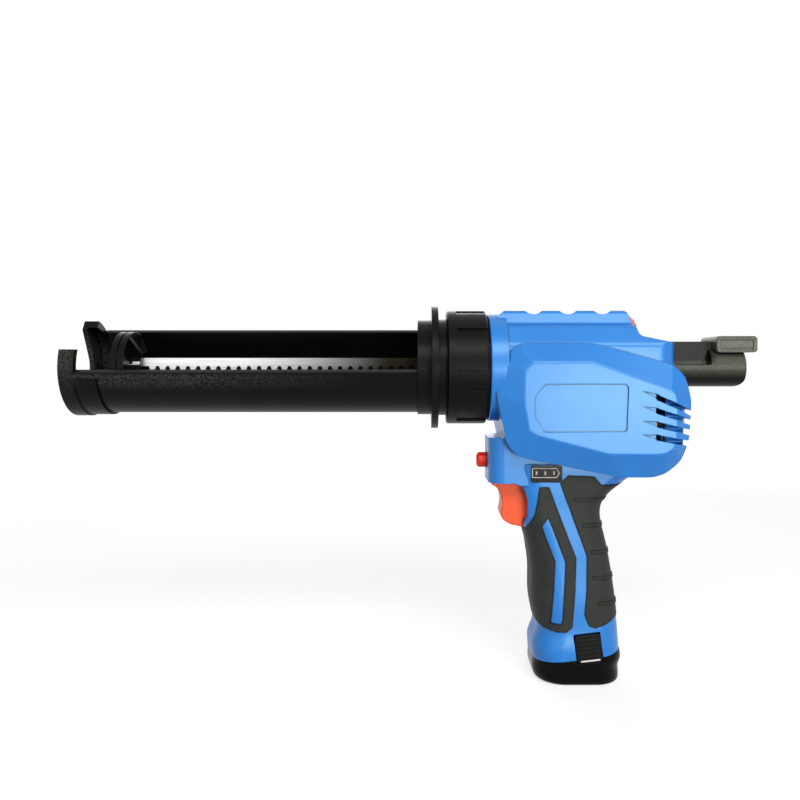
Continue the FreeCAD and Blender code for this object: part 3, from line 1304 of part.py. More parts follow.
BUTTON_COLLAR = "(wall + face_gap - head_reach)"
button = turned("push_button", (
    ("0 - button_front", "0"), ("0 - button_front", "button_radius - button_round"),
    ("button_round - button_front", "button_radius"), (BUTTON_COLLAR, "button_radius"),
    (BUTTON_COLLAR, "button_collar"), (f"{BUTTON_COLLAR} + button_collar_length", "button_collar"),
    (f"{BUTTON_COLLAR} + button_collar_length", "button_radius"), (BUTTON_BACK, "button_radius"),
    (BUTTON_BACK, "button_stem"), (f"{BUTTON_BACK} + button_stem_length", "button_stem"),
    (f"{BUTTON_BACK} + button_stem_length", "0"),
))
node(button, "push_button", z="0 - button_drop")
button_switch = cut(
    "button_switch_cut",
    block("button_switch_box", (BUTTON_SWITCH, f"{BUTTON_SWITCH} + button_switch_length"),
          ("0 - button_switch_half", "button_switch_half"),
          ("0 - button_drop - button_switch_half", "button_switch_half - button_drop")),
    cylinder("button_switch_bore", "button_stem + run_fit", "button_stem_length + overrun",
             x=f"{BUTTON_SWITCH} - overrun", z="0 - button_drop"),
)
node(button_switch, "button_switch")

notch = Part.makeCylinder(n("dial_notch"), n("2 * dial_half"),
                          Vector(n("dial_radius"), 0, n("0 - dial_half")))
disc = Part.makeCylinder(n("dial_radius"), n("2 * dial_half"), Vector(0, 0, n("0 - dial_half")))
disc = disc.cut(around(notch, n("dial_notches"), Vector(0, 0, 1)))
disc = disc.fuse(Part.makeCylinder(n("dial_shaft"), n(f"{DIAL_SIDE} + dial_box / 2")))
node(shaped("speed_dial_shape", disc), "speed_dial", x="dial_x", z="dial_height", turn=ALONG_Y)
pot = cut(
    "dial_potentiometer_cut",
    block("dial_potentiometer_box", (DIAL_BOX_X, f"{DIAL_BOX_X} + 2 * dial_box_half"),
          (DIAL_SIDE, f"{DIAL_SIDE} + dial_box"),
          ("dial_height - dial_box_half", "dial_height + dial_box_half")),
    cylinder("dial_potentiometer_bore", "dial_shaft + run_fit", "dial_box / 2 + face_gap + overrun",
             ALONG_Y,
             "dial_x", f"{DIAL_SIDE} - overrun", "dial_height"),
)
node(pot, "dial_potentiometer")

gauge = slab("gauge_lens", gauge_box, "XZ", f"0 - {GAUGE_SIDE} - gauge_proud",
             "gauge_proud + gauge_depth - sliver",
             ("gauge_round",) * 4)
node(gauge, "battery_gauge")

board_z = ("0 - board_drop", "board - board_drop")
node(grouped("control_board_group", block("control_board_sheet", ("board_x", "board_x + board_length"),
                                          ("0 - board_half", "board_half"), board_z)), "control_board")
chips = []
for i in range(3):
    start = f"board_x + chip_length / 2 + {i} * chip_pitch"
    chips.append(block(f"board_chip_{i}", (start, f"{start} + chip_length"),
                       ("0 - chip_length", "0 - chip_length / 4"),
                       ("board - board_drop", "board - board_drop + chip_height")))
node(grouped("board_chip_group", *chips), "board_chips")

# Battery: a base under the grip, a stick of three cells inside it, and a latch on each side
base_section_shares = (
    (-0.25, -1.104, 1.004, 1.000, 0.669),
    (0.40, -1.100, 1.000, 1.000, 0.669),
    (0.80, -1.080, 1.000, 0.992, 0.661),
    (0.95, -1.020, 0.985, 0.953, 0.630),
    (1.00, -0.945, 0.945, 0.894, 0.591),
)
base = Part.makeLoft([grip_wire(section, 0, n("base_height"), DROP) for section in base_section_shares],
                     True, False)
base = base.common(under_joint("joint_gap"))
stick_points = (("stick_front", "0 - stick_half"), ("stick_back", "0 - stick_half"),
                ("stick_back", "stick_half"), ("stick_front", "stick_half"))
stick = prism(numbers(stick_points), "XY", n("base_height / 3"), n("stick_length - base_height / 3"),
              [n(f"stick_{end}round") for end in ("front_", "", "", "front_")])
pockets = both_sides(latch_x, (f"{LATCH_BACK} - latch_travel - latch_gap", "2 * grip_half"),
                     ("latch_bottom - latch_gap", "stick_length"))
FIRST_CELL = "(stick_front + stick_wall + cell_radius + cell_gap)"
cell_places = ((FIRST_CELL, "0"), (f"{FIRST_CELL} + cell_row", "cell_spread"),
               (f"{FIRST_CELL} + cell_row", "0 - cell_spread"))
bores = [Part.makeCylinder(n("cell_radius + cell_gap"), n("cell_length + 2 * cell_gap"),
                           Vector(n(x), n(y), n("cell_start - cell_gap"))) for x, y in cell_places]
pack = base.fuse(leaned(stick)).cut([leaned(part) for part in pockets + bores])
node(shaped("battery_shell_shape", pack), "battery_shell")

cells = [cylinder(f"battery_cell_{i}", "cell_radius", "cell_length", Rotation(), x, y, "cell_start")
         for i, (x, y) in enumerate(cell_places)]
node(grouped("battery_cell_group", *cells), "battery_cells", z=FOOT, turn=LEAN_TURN)

BLADE_TOP = "(stick_length + blade_rise)"
blades, slots = [], []
for i, place in enumerate(("0 - blade_pitch", "0", "blade_pitch")):
    blades.append(block(f"battery_blade_{i}", ("0 - blade_width / 2", "blade_width / 2"),
                        (f"{place} - blade / 2", f"{place} + blade / 2"), ("stick_length", BLADE_TOP)))
    slots.append(block(f"terminal_slot_{i}",
                       ("0 - blade_width / 2 - face_gap", "blade_width / 2 + face_gap"),
                       (f"{place} - blade / 2 - face_gap", f"{place} + blade / 2 + face_gap"),
                       ("stick_length", f"{BLADE_TOP} + face_gap")))
node(grouped("battery_blade_group", *blades), "battery_blades", z=FOOT, turn=LEAN_TURN)
node(cut("terminal_cut", block("terminal_body", *TERMINAL), *slots), "terminal_block", z=FOOT,
     turn=LEAN_TURN)

latch_points = (("latch_x - latch_half", "latch_bottom"), ("latch_x + latch_half", "latch_bottom"),
                ("latch_x + latch_half", LATCH_TOP), ("latch_x - latch_half", LATCH_TOP))
for side, start, rib_start in (("left", f"0 - {LATCH_FACE}", f"0 - {LATCH_FACE} - latch_rib"),
                               ("right", LATCH_BACK, LATCH_FACE)):
    plate = slab(f"latch_plate_{side}", latch_points, "XZ", start, "latch_thick + latch_proud",
                 ("latch_round",) * 4)
    ridges = []
    for i in range(int(n("latch_ribs"))):
        low = f"latch_bottom + latch_height * {(i + 1) / (n('latch_ribs') + 1.5)}"
        ridges.append(block(f"latch_ridge_{side}_{i}",
                            ("latch_x - latch_half + latch_round", "latch_x + latch_half - latch_round"),
                            (f"{rib_start}", f"{rib_start} + latch_rib"),
                            (low, f"{low} + 2 * latch_rib")))
    node(fused(f"latch_{side}_fused", plate, *ridges), f"battery_latch_{side}", z=FOOT, turn=LEAN_TURN)

doc.recompute()
for obj in doc.Objects:
    if "Invalid" in obj.State or "Error" in obj.State:
        raise ValueError(f"{obj.Name} did not build")
for obj in NODES:
    if obj.Shape.isNull() or not obj.Shape.isValid():
        raise ValueError(f"{obj.Label} has no sound shape")
os.makedirs("parts", exist_ok=True)
for obj in NODES:
    obj.Shape.exportStep(f"parts/{obj.Label}.step")
    print(obj.Label, round(obj.Shape.Volume))
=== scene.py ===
# %% [markdown]
# # A cordless caulking tool, dressed in Blender
#
# The tool is already built as a set of solids: a blue two-part housing on a pistol grip, a black
# cradle that a cartridge lies in, a steel rack that pushes it, and a battery that stands under the
# grip. This lesson keeps those solids exactly where they are and gives them what solids lack: the
# materials they are made of, small printed and pressed details, light and a camera. The first cell
# loads the solids and remembers and prints how large they are.

import math

import bmesh
import bpy
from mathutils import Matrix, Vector


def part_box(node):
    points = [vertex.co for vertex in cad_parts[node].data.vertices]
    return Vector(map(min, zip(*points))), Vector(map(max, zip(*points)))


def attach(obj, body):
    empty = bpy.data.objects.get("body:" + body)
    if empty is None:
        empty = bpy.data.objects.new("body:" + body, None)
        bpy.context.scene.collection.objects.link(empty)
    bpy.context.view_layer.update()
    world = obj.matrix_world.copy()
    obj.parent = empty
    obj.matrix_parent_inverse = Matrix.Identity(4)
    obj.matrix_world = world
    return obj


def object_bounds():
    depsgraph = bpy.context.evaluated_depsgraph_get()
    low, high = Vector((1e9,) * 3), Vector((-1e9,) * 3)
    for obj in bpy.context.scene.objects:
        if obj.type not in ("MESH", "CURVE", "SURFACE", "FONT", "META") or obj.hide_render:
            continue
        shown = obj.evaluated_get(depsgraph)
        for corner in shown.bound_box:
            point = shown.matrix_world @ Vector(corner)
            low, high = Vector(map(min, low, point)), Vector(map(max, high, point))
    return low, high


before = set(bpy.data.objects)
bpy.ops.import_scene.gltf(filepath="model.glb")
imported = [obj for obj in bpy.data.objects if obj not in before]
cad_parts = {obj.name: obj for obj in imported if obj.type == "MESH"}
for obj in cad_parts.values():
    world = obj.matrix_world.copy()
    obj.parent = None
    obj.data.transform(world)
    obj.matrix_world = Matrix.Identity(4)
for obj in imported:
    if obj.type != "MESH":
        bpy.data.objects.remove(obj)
solid_low, solid_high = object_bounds()
scene = bpy.context.scene
scene.view_settings.view_transform = "Standard"
MM = 0.001
size = [round((high - low) / MM, 1) for low, high in zip(solid_low, solid_high)]
print("solids:", len(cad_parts), "size in mm:", size)

# %% [markdown]
# ## The camera
#
# A camera could be turned until the picture looks right, but the photograph gives it away: the
# barrel is seen exactly from the side, so the lens axis is level and square to it. The far rim of
# the cradle looks smaller than the near one, and that difference gives the distance, a little
# under half a metre. What is left is a small shift, because the picture's centre isn't where the
# lens axis meets it. Shifting keeps the verticals straight, which turning would not.

# %% Place the camera
IMAGE_WIDTH = 800
LENS_PIXELS = 760.0
AXIS_PIXEL = (420.0, 367.3)
SENSOR_WIDTH = 36.0
NEAR_CLIP = 10.0 * MM
BARREL_HEIGHT = 189.0 * MM
CAMERA_X = -96.0 * MM
CAMERA_DISTANCE = 475.0 * MM

camera_data = bpy.data.cameras.new("studio_camera")
camera_data.sensor_width = SENSOR_WIDTH
camera_data.lens = LENS_PIXELS / IMAGE_WIDTH * SENSOR_WIDTH
camera_data.shift_x = (IMAGE_WIDTH / 2 - AXIS_PIXEL[0]) / IMAGE_WIDTH
camera_data.shift_y = (AXIS_PIXEL[1] - IMAGE_WIDTH / 2) / IMAGE_WIDTH
camera_data.clip_start = NEAR_CLIP
camera = bpy.data.objects.new("studio_camera", camera_data)
camera.location = (CAMERA_X, -CAMERA_DISTANCE, BARREL_HEIGHT)
camera.rotation_euler = (math.radians(90), 0, 0)
scene.collection.objects.link(camera)
scene.camera = camera
print("lens:", round(camera_data.lens, 1), "mm")

# %% [markdown]
# ## One function for nodes, one for colour
#
# Every finish below is a small tree of nodes. Instead of many helpers, one function adds any node,
# sets its options or socket values, and links its inputs. Colours are written as the eye sees
# them, in sRGB hex, and one function turns them to the linear values that light works with. The
# solids that have been dressed are written down on the way, so that none is forgotten.

# %% Node and colour helpers
def linear(code):
    """Linear colour with alpha from an sRGB hex value such as '#3f8fe6'."""
    parts = [int(code[i:i + 2], 16) / 255 for i in (1, 3, 5)]
    return (*[p / 12.92 if p <= 0.04045 else ((p + 0.055) / 1.055) ** 2.4 for p in parts], 1.0)


def add(tree, kind, settings=(), links=()):
    """Adds a node, sets options or socket values by name or number, and links sockets into it."""
    made = tree.nodes.new(kind)
    for name, value in dict(settings).items():
        if isinstance(name, str) and hasattr(made, name):
            setattr(made, name, value)
        else:
            made.inputs[name].default_value = value
    for name, socket in dict(links).items():
        tree.links.new(socket, made.inputs[name])
    return made


def per(millimetres):
    """Texture scale for a pattern that repeats after so many millimetres."""
    return 1 / (millimetres * MM)


def empty_material(name):
    """A material without nodes, and its node tree."""
    material = bpy.data.materials.new(name)
    material.use_nodes = True
    material.node_tree.nodes.clear()
    return material, material.node_tree


def dress(material, *nodes):
    """Gives the material to every slot of these solids."""
    for name in nodes:
        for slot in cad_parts[name].material_slots:
            slot.link = "OBJECT"
            slot.material = material
        dressed[name] = material.name


WHITE, BLACK = linear("#ffffff"), linear("#000000")
dressed = {}
print("helpers ready, solids to dress:", len(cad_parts))

# %% [markdown]
# ## Painted groove shade and painted highlights
#
# Where two faces meet in a groove, light doesn't reach; an occlusion node finds those places, and
# their shade is painted into the colour. On some black parts a highlight is painted on as a mottled
# grey band. Three facts describe such a band: the heights it lies between, the stretch over which it
# fades out, and how coarse its marks are. The three are multiplied, and their product mixes the
# highlight's colour in.

# %% Layers for painted groove shade and painted highlights
OCCLUSION_SAMPLES = 8
CREASE_REACH = 1.6 * MM
CREASE_OPEN, CREASE_DEEP = 0.92, 0.5
BAND_PEAK = 0.7


def groove_shade_mask(tree):
    """Adds nodes that give 1 deep in a groove and 0 in the open, where shade is painted."""
    open_sky = add(tree, "ShaderNodeAmbientOcclusion",
                   {"samples": OCCLUSION_SAMPLES, "Distance": CREASE_REACH})
    return add(tree, "ShaderNodeMapRange", {"From Min": CREASE_OPEN, "From Max": CREASE_DEEP},
               {"Value": open_sky.outputs["AO"]})


def paint_highlight_band(tree, place, base_tone, colour, heights, reach, mark=1.3, patches=(0.4, 0.66)):
    """Adds a mottled painted highlight band between two heights that fades out between two X, sizes in mm.
    """
    axes = add(tree, "ShaderNodeSeparateXYZ", (), {0: place})
    level = add(tree, "ShaderNodeMapRange",
                {"From Min": heights[0] * MM, "From Max": heights[1] * MM}, {"Value": axes.outputs["Z"]})
    band = add(tree, "ShaderNodeValToRGB", (), {"Fac": level.outputs[0]})
    band.color_ramp.interpolation = "EASE"
    for end in band.color_ramp.elements:
        end.color = BLACK
    band.color_ramp.elements.new(BAND_PEAK).color = WHITE
    fade = add(tree, "ShaderNodeMapRange",
               {"From Min": reach[0] * MM, "From Max": reach[1] * MM, "To Min": 1.0, "To Max": 0.0},
               {"Value": axes.outputs["X"]})
    marks = add(tree, "ShaderNodeTexNoise", {"Scale": per(mark), "Detail": 5.0, "Roughness": 0.7},
                {"Vector": place})
    patchy = add(tree, "ShaderNodeMapRange", {"From Min": patches[0], "From Max": patches[1]},
                 {"Value": marks.outputs[0]})
    near = add(tree, "ShaderNodeMath", {"operation": "MULTIPLY"},
               {0: band.outputs[0], 1: fade.outputs[0]})
    worn = add(tree, "ShaderNodeMath", {"operation": "MULTIPLY"},
               {0: near.outputs[0], 1: patchy.outputs[0]})
    return add(tree, "ShaderNodeMix", {"data_type": "RGBA", 7: linear(colour)},
               {0: worn.outputs[0], 6: base_tone.outputs[2]})


# The grooves get painted shade, and the bands are painted highlights.
print("layers: grooves within", CREASE_REACH / MM, "mm, and worn bands")

# %% [markdown]
# ## A moulded finish
#
# Almost everything that shows is injection moulded. The mould's steel is spark eroded, which
# leaves a fine, even pebble on the plastic, and the melt leaves faint clouds of tone where it
# flowed. Edges come out of the mould with a small radius that catches light. A photograph could
# be pasted on, but it would smear on the sides; so three procedural layers do it: clouds for the
# colour, a pebble for gloss and bump, and a bevelled normal that rounds each edge. Painted
# highlight bands and painted shade in the grooves are laid over the clouds. The real pebble is
# about 0.1 mm, too fine for this picture, so it is drawn about four times as coarse.

# %% The recipe for plastic
BEVEL_SAMPLES = 6
CLOUD_RANGE = (0.35, 0.75)
GROOVE_PAINTED_SHADE = "#616976"


def moulded(name, colour, shade, roughness, ior=1.53, specular=0.5, pebble=0.45, relief=0.02,
            edge=0.5, cloud=22.0, spread=0.08, tint="#ffffff", worn=()):
    """Moulded plastic: clouds between two tones, a pebbled surface and rounded edges, sizes in mm."""
    material, tree = empty_material(name)
    place = add(tree, "ShaderNodeTexCoord").outputs["Object"]
    clouds = add(tree, "ShaderNodeTexNoise", {"Scale": per(cloud), "Detail": 3.0}, {"Vector": place})
    amount = add(tree, "ShaderNodeMapRange", {"From Min": CLOUD_RANGE[0], "From Max": CLOUD_RANGE[1]},
                 {"Value": clouds.outputs[0]})
    base_tone = add(tree, "ShaderNodeMix", {"data_type": "RGBA", 6: linear(colour), 7: linear(shade)},
                {0: amount.outputs[0]})
    # Painted highlight bands are mixed into the colour.
    for band in worn:
        base_tone = paint_highlight_band(tree, place, base_tone, *band)
    # Painted shade: the colour is darkened deep in grooves.
    tone = add(tree, "ShaderNodeMix",
               {"data_type": "RGBA", "blend_type": "MULTIPLY", 7: linear(GROOVE_PAINTED_SHADE)},
               {0: groove_shade_mask(tree).outputs[0], 6: base_tone.outputs[2]})
    grain = add(tree, "ShaderNodeTexNoise", {"Scale": per(pebble), "Detail": 2.0}, {"Vector": place})
    gloss = add(tree, "ShaderNodeMapRange",
                {"To Min": roughness - spread, "To Max": roughness + spread},
                {"Value": grain.outputs[0]})
    rounded = add(tree, "ShaderNodeBevel", {"samples": BEVEL_SAMPLES, "Radius": edge * MM})
    bump = add(tree, "ShaderNodeBump", {"Strength": 1.0, "Distance": relief * MM},
               {"Height": grain.outputs[0], "Normal": rounded.outputs[0]})
    surface = add(tree, "ShaderNodeBsdfPrincipled",
                  {"IOR": ior, "Specular IOR Level": specular, "Specular Tint": linear(tint)},
                  {"Base Color": tone.outputs[2], "Roughness": gloss.outputs[0],
                   "Normal": bump.outputs[0]})
    add(tree, "ShaderNodeOutputMaterial", (), {"Surface": surface.outputs[0]})
    return material


# Here the wear is painted highlight bands, and the grooves get painted shade.
print("recipe for plastic: clouds, wear, grooves, pebble and rounded edges")

# %% [markdown]
# ## The plastics of this tool
#
# One recipe makes all the plastics, and a few values set them apart: how glossy the mould was, how
# strongly the surface mirrors, and where highlights are painted on. The black pieces come from the
# same glass-filled nylon, and the trough, the front cap and the handle each have painted highlight
# bands of their own.

# %% Dress the plastics
NYLON = {"colour": "#030303", "shade": "#060606", "roughness": 0.36, "specular": 0.09,
         "relief": 0.03, "cloud": 9.0}
# A painted highlight band is a colour, two heights, and the two X between which it fades out, in mm.
TROUGH_HIGHLIGHT = ("#484b49", (174.0, 186.8), (-235.0, -125.0))
CAP_RIM_HIGHLIGHT = ("#484846", (163.0, 214.0), (-303.0, -295.0))
# On the handle the marks of the painted highlights are finer and run into each other.
HANDLE_HIGHLIGHT_MOTTLE = (0.9, (0.1, 0.85))
HANDLE_HIGHLIGHTS = (("#686860", (181.0, 194.0), (150.0, 200.0), *HANDLE_HIGHLIGHT_MOTTLE),
               ("#8a8a80", (186.0, 212.0), (86.0, 82.0), *HANDLE_HIGHLIGHT_MOTTLE))

# ABS from a spark-eroded mould: a satin blue with broad, soft highlights.
blue_abs = moulded("blue_abs_spark_textured", "#1877d4", "#1571ce", 0.34, specular=0.65,
                   tint="#d8ffff")
dress(blue_abs, "housing_left", "housing_right")
# Glass fibres near the surface break up the gloss: a deep, dry black.
black_nylon = moulded("black_glass_nylon_moulded", **NYLON)
dress(black_nylon, "cradle_ring", "lock_collar", "front_boss", "pusher")
# The same nylon with a painted highlight: a mottled grey band along the side, strongest at the front.
highlighted_nylon = moulded("black_glass_nylon_painted_highlight", worn=[TROUGH_HIGHLIGHT], **NYLON)
dress(highlighted_nylon, "cradle_trough")
# The same nylon with a painted highlight: mottled grey on the foremost rim.
rim_highlighted_nylon = moulded("black_glass_nylon_painted_rim_highlight", worn=[CAP_RIM_HIGHLIGHT], **NYLON)
dress(rim_highlighted_nylon, "cradle_cap")
# Black nylon with painted highlights: a warm stone grey, lightest at the top of its rear end.
highlighted_handle_nylon = moulded("black_nylon_painted_highlights", "#060606", "#0c0c0b", 0.3, specular=0.1,
                     relief=0.06, cloud=3.0, worn=HANDLE_HIGHLIGHTS)
dress(highlighted_handle_nylon, "rod_handle")
# Polycarbonate from a polished mould: a smooth black with small, sharp highlights.
gloss_black = moulded("black_polycarbonate_polished", "#020203", "#030304", 0.14, specular=0.08,
                      relief=0.004, spread=0.04)
dress(gloss_black, "battery_shell")
# Acetal is waxy: a black that shines softly.
latch_black = moulded("black_acetal_moulded", "#040507", "#06070a", 0.3, specular=0.14)
dress(latch_black, "battery_latch_left", "battery_latch_right")
# Pigmented acetal: a full, even orange with a soft shine.
orange_acetal = moulded("orange_acetal_moulded", "#f95c2f", "#ee5026", 0.36, specular=0.25)
dress(orange_acetal, "trigger")
# Pigmented ABS: a clear signal red.
red_abs = moulded("red_abs_moulded", "#ee230e", "#e31c09", 0.34, specular=0.3)
dress(red_abs, "push_button")
# ABS with a colder, darker pigment: a red that sets the dial apart from the button.
dial_red = moulded("dark_red_abs_moulded", "#c8202c", "#b81a26", 0.36)
dress(dial_red, "speed_dial")
# Plain nylon: a dull grey, for pieces that nobody looks at.
inner_nylon = moulded("grey_nylon_moulded", "#2b2c2e", "#323335", 0.5)
dress(inner_nylon, "motor_end_cap", "rod_guide", "trigger_switch", "button_switch",
      "dial_potentiometer", "terminal_block")
print("dressed so far:", len(dressed))

# %% [markdown]
# ## Soft grip
#
# The dark pads on the grip are a thermoplastic rubber, moulded over the hard shell. Its mould is
# etched with a fine leather grain so that it doesn't slip, and the rubber scatters light so widely
# that it looks nearly without gloss. Cells of a Voronoi texture, about 0.7 mm across, make the
# grain, and dust settled in it makes the tone uneven. The pads end in a fine dark line of painted
# shade, the shadow of the groove round each pad: an occlusion node that looks inwards finds their rims.

# %% Dress the rubber
GRAIN, GRAIN_RELIEF = 0.7, 0.03
DUST_PATCH = 14.0
PAD_EDGE, PAD_RIM = 0.4, 1.1
RIM_OPEN, RIM_DEEP = 0.97, 0.8
PAD_TONES = (("#1b1e1e", 0.35), ("#262a29", 0.7))
PAD_RIM_SHADE = "#060709"

# Rubber from an etched mould: a soft charcoal that hardly shines.
grip_rubber, tree = empty_material("black_thermoplastic_rubber_overmoulded")
place = add(tree, "ShaderNodeTexCoord").outputs["Object"]
cells = add(tree, "ShaderNodeTexVoronoi", {"feature": "SMOOTH_F1", "Scale": per(GRAIN)},
            {"Vector": place})
dust = add(tree, "ShaderNodeTexNoise", {"Scale": per(DUST_PATCH), "Detail": 4.0}, {"Vector": place})
tone = add(tree, "ShaderNodeValToRGB", (), {"Fac": dust.outputs[0]})
for end, (colour, position) in zip(tone.color_ramp.elements, PAD_TONES):
    end.color = linear(colour)
    end.position = position
rounded = add(tree, "ShaderNodeBevel", {"samples": BEVEL_SAMPLES, "Radius": PAD_EDGE * MM})
bump = add(tree, "ShaderNodeBump", {"Strength": 1.0, "Distance": GRAIN_RELIEF * MM},
           {"Height": cells.outputs[0], "Normal": rounded.outputs[0]})
rim = add(tree, "ShaderNodeAmbientOcclusion",
          {"samples": OCCLUSION_SAMPLES, "inside": True, "only_local": True, "Distance": PAD_RIM * MM})
groove = add(tree, "ShaderNodeMapRange", {"From Min": RIM_OPEN, "From Max": RIM_DEEP},
             {"Value": rim.outputs["AO"]})
# Painted shade: a dark line along each pad's rim.
rim_shaded = add(tree, "ShaderNodeMix", {"data_type": "RGBA", 7: linear(PAD_RIM_SHADE)},
            {0: groove.outputs[0], 6: tone.outputs[0]})
matt = add(tree, "ShaderNodeMapRange", {"To Min": 0.58, "To Max": 0.72}, {"Value": dust.outputs[0]})
surface = add(tree, "ShaderNodeBsdfPrincipled", {"IOR": 1.5, "Specular IOR Level": 0.3},
              {"Base Color": rim_shaded.outputs[2], "Roughness": matt.outputs[0], "Normal": bump.outputs[0]})
add(tree, "ShaderNodeOutputMaterial", (), {"Surface": surface.outputs[0]})
dress(grip_rubber, "front_grip_left", "front_grip_right", "rear_grip_left", "rear_grip_right")
print("dressed so far:", len(dressed))

# %% [markdown]
# ## A metal finish
#
# A metal keeps the default IOR, and its colour is its reflection. What tells one process from another
# is how rough it is and which way its streaks run; a noise stretched along one axis gives the
# streaks. A cutter's streaks are a few hundredths of a millimetre wide, too fine for this picture, so
# on the bar they are drawn about five times as coarse. A painted shade can be laid over the metal:
# it darkens the metal more and more between two places along X.

# %% The recipe for metal
STREAK_TONES = (0.3, 0.65)
ROUGHER, SMOOTHER = 0.08, 0.06
PAINTED_SHADE_TINT = "#25211a"


def metal(name, colour, shade, roughness, streak=(40.0, 0.25, 0.25), relief=0.006, edge=0.2,
          grease=()):
    """Metal with streaks of the given length, width and height, and painted shade that deepens between two
    X, in mm.
    """
    material, tree = empty_material(name)
    place = add(tree, "ShaderNodeTexCoord").outputs["Object"]
    stretched = add(tree, "ShaderNodeMapping", {"Scale": [per(s) for s in streak]}, {"Vector": place})
    streaks = add(tree, "ShaderNodeTexNoise", {"Scale": 1.0, "Detail": 3.0},
                  {"Vector": stretched.outputs[0]})
    tone = add(tree, "ShaderNodeValToRGB", (), {"Fac": streaks.outputs[0]})
    for end, code, position in zip(tone.color_ramp.elements, (shade, colour), STREAK_TONES):
        end.color = linear(code)
        end.position = position
    face = tone.outputs[0]
    # Painted shade: the colour darkens more and more between two X.
    if grease:
        axes = add(tree, "ShaderNodeSeparateXYZ", (), {0: place})
        shade_amount = add(tree, "ShaderNodeMapRange",
                   {"interpolation_type": "SMOOTHSTEP", "From Min": grease[0] * MM,
                    "From Max": grease[1] * MM}, {"Value": axes.outputs["X"]})
        shaded = add(tree, "ShaderNodeMix",
                     {"data_type": "RGBA", "blend_type": "MULTIPLY", 7: linear(PAINTED_SHADE_TINT)},
                     {0: shade_amount.outputs[0], 6: face})
        face = shaded.outputs[2]
    gloss = add(tree, "ShaderNodeMapRange",
                {"To Min": roughness + ROUGHER, "To Max": roughness - SMOOTHER},
                {"Value": streaks.outputs[0]})
    rounded = add(tree, "ShaderNodeBevel", {"samples": BEVEL_SAMPLES, "Radius": edge * MM})
    bump = add(tree, "ShaderNodeBump", {"Strength": 1.0, "Distance": relief * MM},
               {"Height": streaks.outputs[0], "Normal": rounded.outputs[0]})
    surface = add(tree, "ShaderNodeBsdfPrincipled", {"Metallic": 1.0},
                  {"Base Color": face, "Roughness": gloss.outputs[0], "Normal": bump.outputs[0]})
    add(tree, "ShaderNodeOutputMaterial", (), {"Surface": surface.outputs[0]})
    return material


# The darkening in this recipe is painted shade.
print("recipe for metal: streaks, grease and rounded edges")

# %% [markdown]
# ## The metals of this tool
#
# The rack is bar steel, milled and then plated with bright zinc, and a painted shade darkens it
# towards the body. Screws are blackened, gears are hobbed and oiled, plates are stamped aluminium
# and bushes are sintered bronze.

# %% Dress the metals
RACK_PAINTED_SHADE = (-222.0, -112.0)

# Milled, then bright zinc: pale streaks along the bar that go over into a warm, dark painted shade towards
# the body.
rack_steel = metal("bright_zinc_plated_steel_milled", "#d2d5d5", "#a6a9aa", 0.36, grease=RACK_PAINTED_SHADE)
dress(rack_steel, "push_rod")
# Black zinc: a dark metal whose highlights stay grey.
screw_steel = metal("black_zinc_plated_steel", "#4a4b4d", "#3a3b3d", 0.38, (1.5, 1.5, 1.5))
dress(screw_steel, "pusher_screw", "rod_handle_pin", "housing_screws")
# Hobbed and oiled: a grey with short streaks along the teeth and a wet shine.
gear_steel = metal("oiled_steel_hobbed", "#9a9c9e", "#7c7e80", 0.28, (0.3, 6.0, 0.3))
dress(gear_steel, "drive_pinion", "spur_gear", "spur_pinion", "bevel_gear", "bevel_pinion",
      "cross_shaft", "counter_shaft", "motor_armature")
# Turned: fine rings round the axis, which runs along X.
case_steel = metal("zinc_plated_steel_turned", "#b4b6b8", "#9c9ea0", 0.34, (0.3, 12.0, 12.0))
dress(case_steel, "gearbox_case", "motor_can")
# Rolled sheet: pale, with a long, quiet sheen.
plate_alloy = metal("stamped_aluminium_rolled", "#c8cacc", "#b2b4b6", 0.4, (20.0, 0.4, 0.4))
dress(plate_alloy, "gear_plate_left", "gear_plate_right")
# Sintered from powder: a grainy brown gold without streaks.
bush_bronze = metal("sintered_bronze", "#b98a4a", "#8f6a38", 0.45, (0.5, 0.5, 0.5))
dress(bush_bronze, "shaft_bushes")
# Tinned and stamped: a pale, smooth yellow.
contact_brass = metal("tinned_brass_stamped", "#d6c08a", "#bfa772", 0.3, (0.3, 0.3, 8.0))
dress(contact_brass, "battery_blades")
print("dressed so far:", len(dressed))

# %% [markdown]
# ## What is closed in, and the gauge window
#
# Most pieces inside never show, but the part is whole, so they get their own materials too: dark
# ferrite magnets, a green circuit board with black chips, and cells in a plastic wrap. The smoked
# window of the charge gauge does show, low on the housing's side. After this cell every solid is
# dressed.

# %% Dress the rest
# Pressed and fired powder: a dark, chalky grey.
ferrite = moulded("ferrite_sintered", "#26272a", "#303135", 0.6, pebble=0.3, relief=0.03)
dress(ferrite, "motor_magnets")
# Solder mask on glass epoxy: a glossy bottle green.
board_green = moulded("glass_epoxy_board_solder_mask", "#0f5a32", "#0c4f2b", 0.3, relief=0.006)
dress(board_green, "control_board")
# Moulded epoxy: a black that looks dusty.
chip_epoxy = moulded("black_epoxy_chip_moulded", "#161617", "#1c1c1d", 0.55)
dress(chip_epoxy, "board_chips")
# Shrunk film: a tight green skin with a smooth shine.
cell_wrap = moulded("cell_shrink_wrap_pvc", "#3f7f4c", "#38754a", 0.3, relief=0.004)
dress(cell_wrap, "battery_cells")
# Smoked acrylic: a nearly black pane with a clear mirror image.
gauge_glass = moulded("smoked_acrylic_window", "#08080a", "#0b0b0d", 0.1, ior=1.49, specular=0.25,
                      relief=0.002, spread=0.03)
dress(gauge_glass, "battery_gauge")
print("dressed:", len(dressed), "of", len(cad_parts))

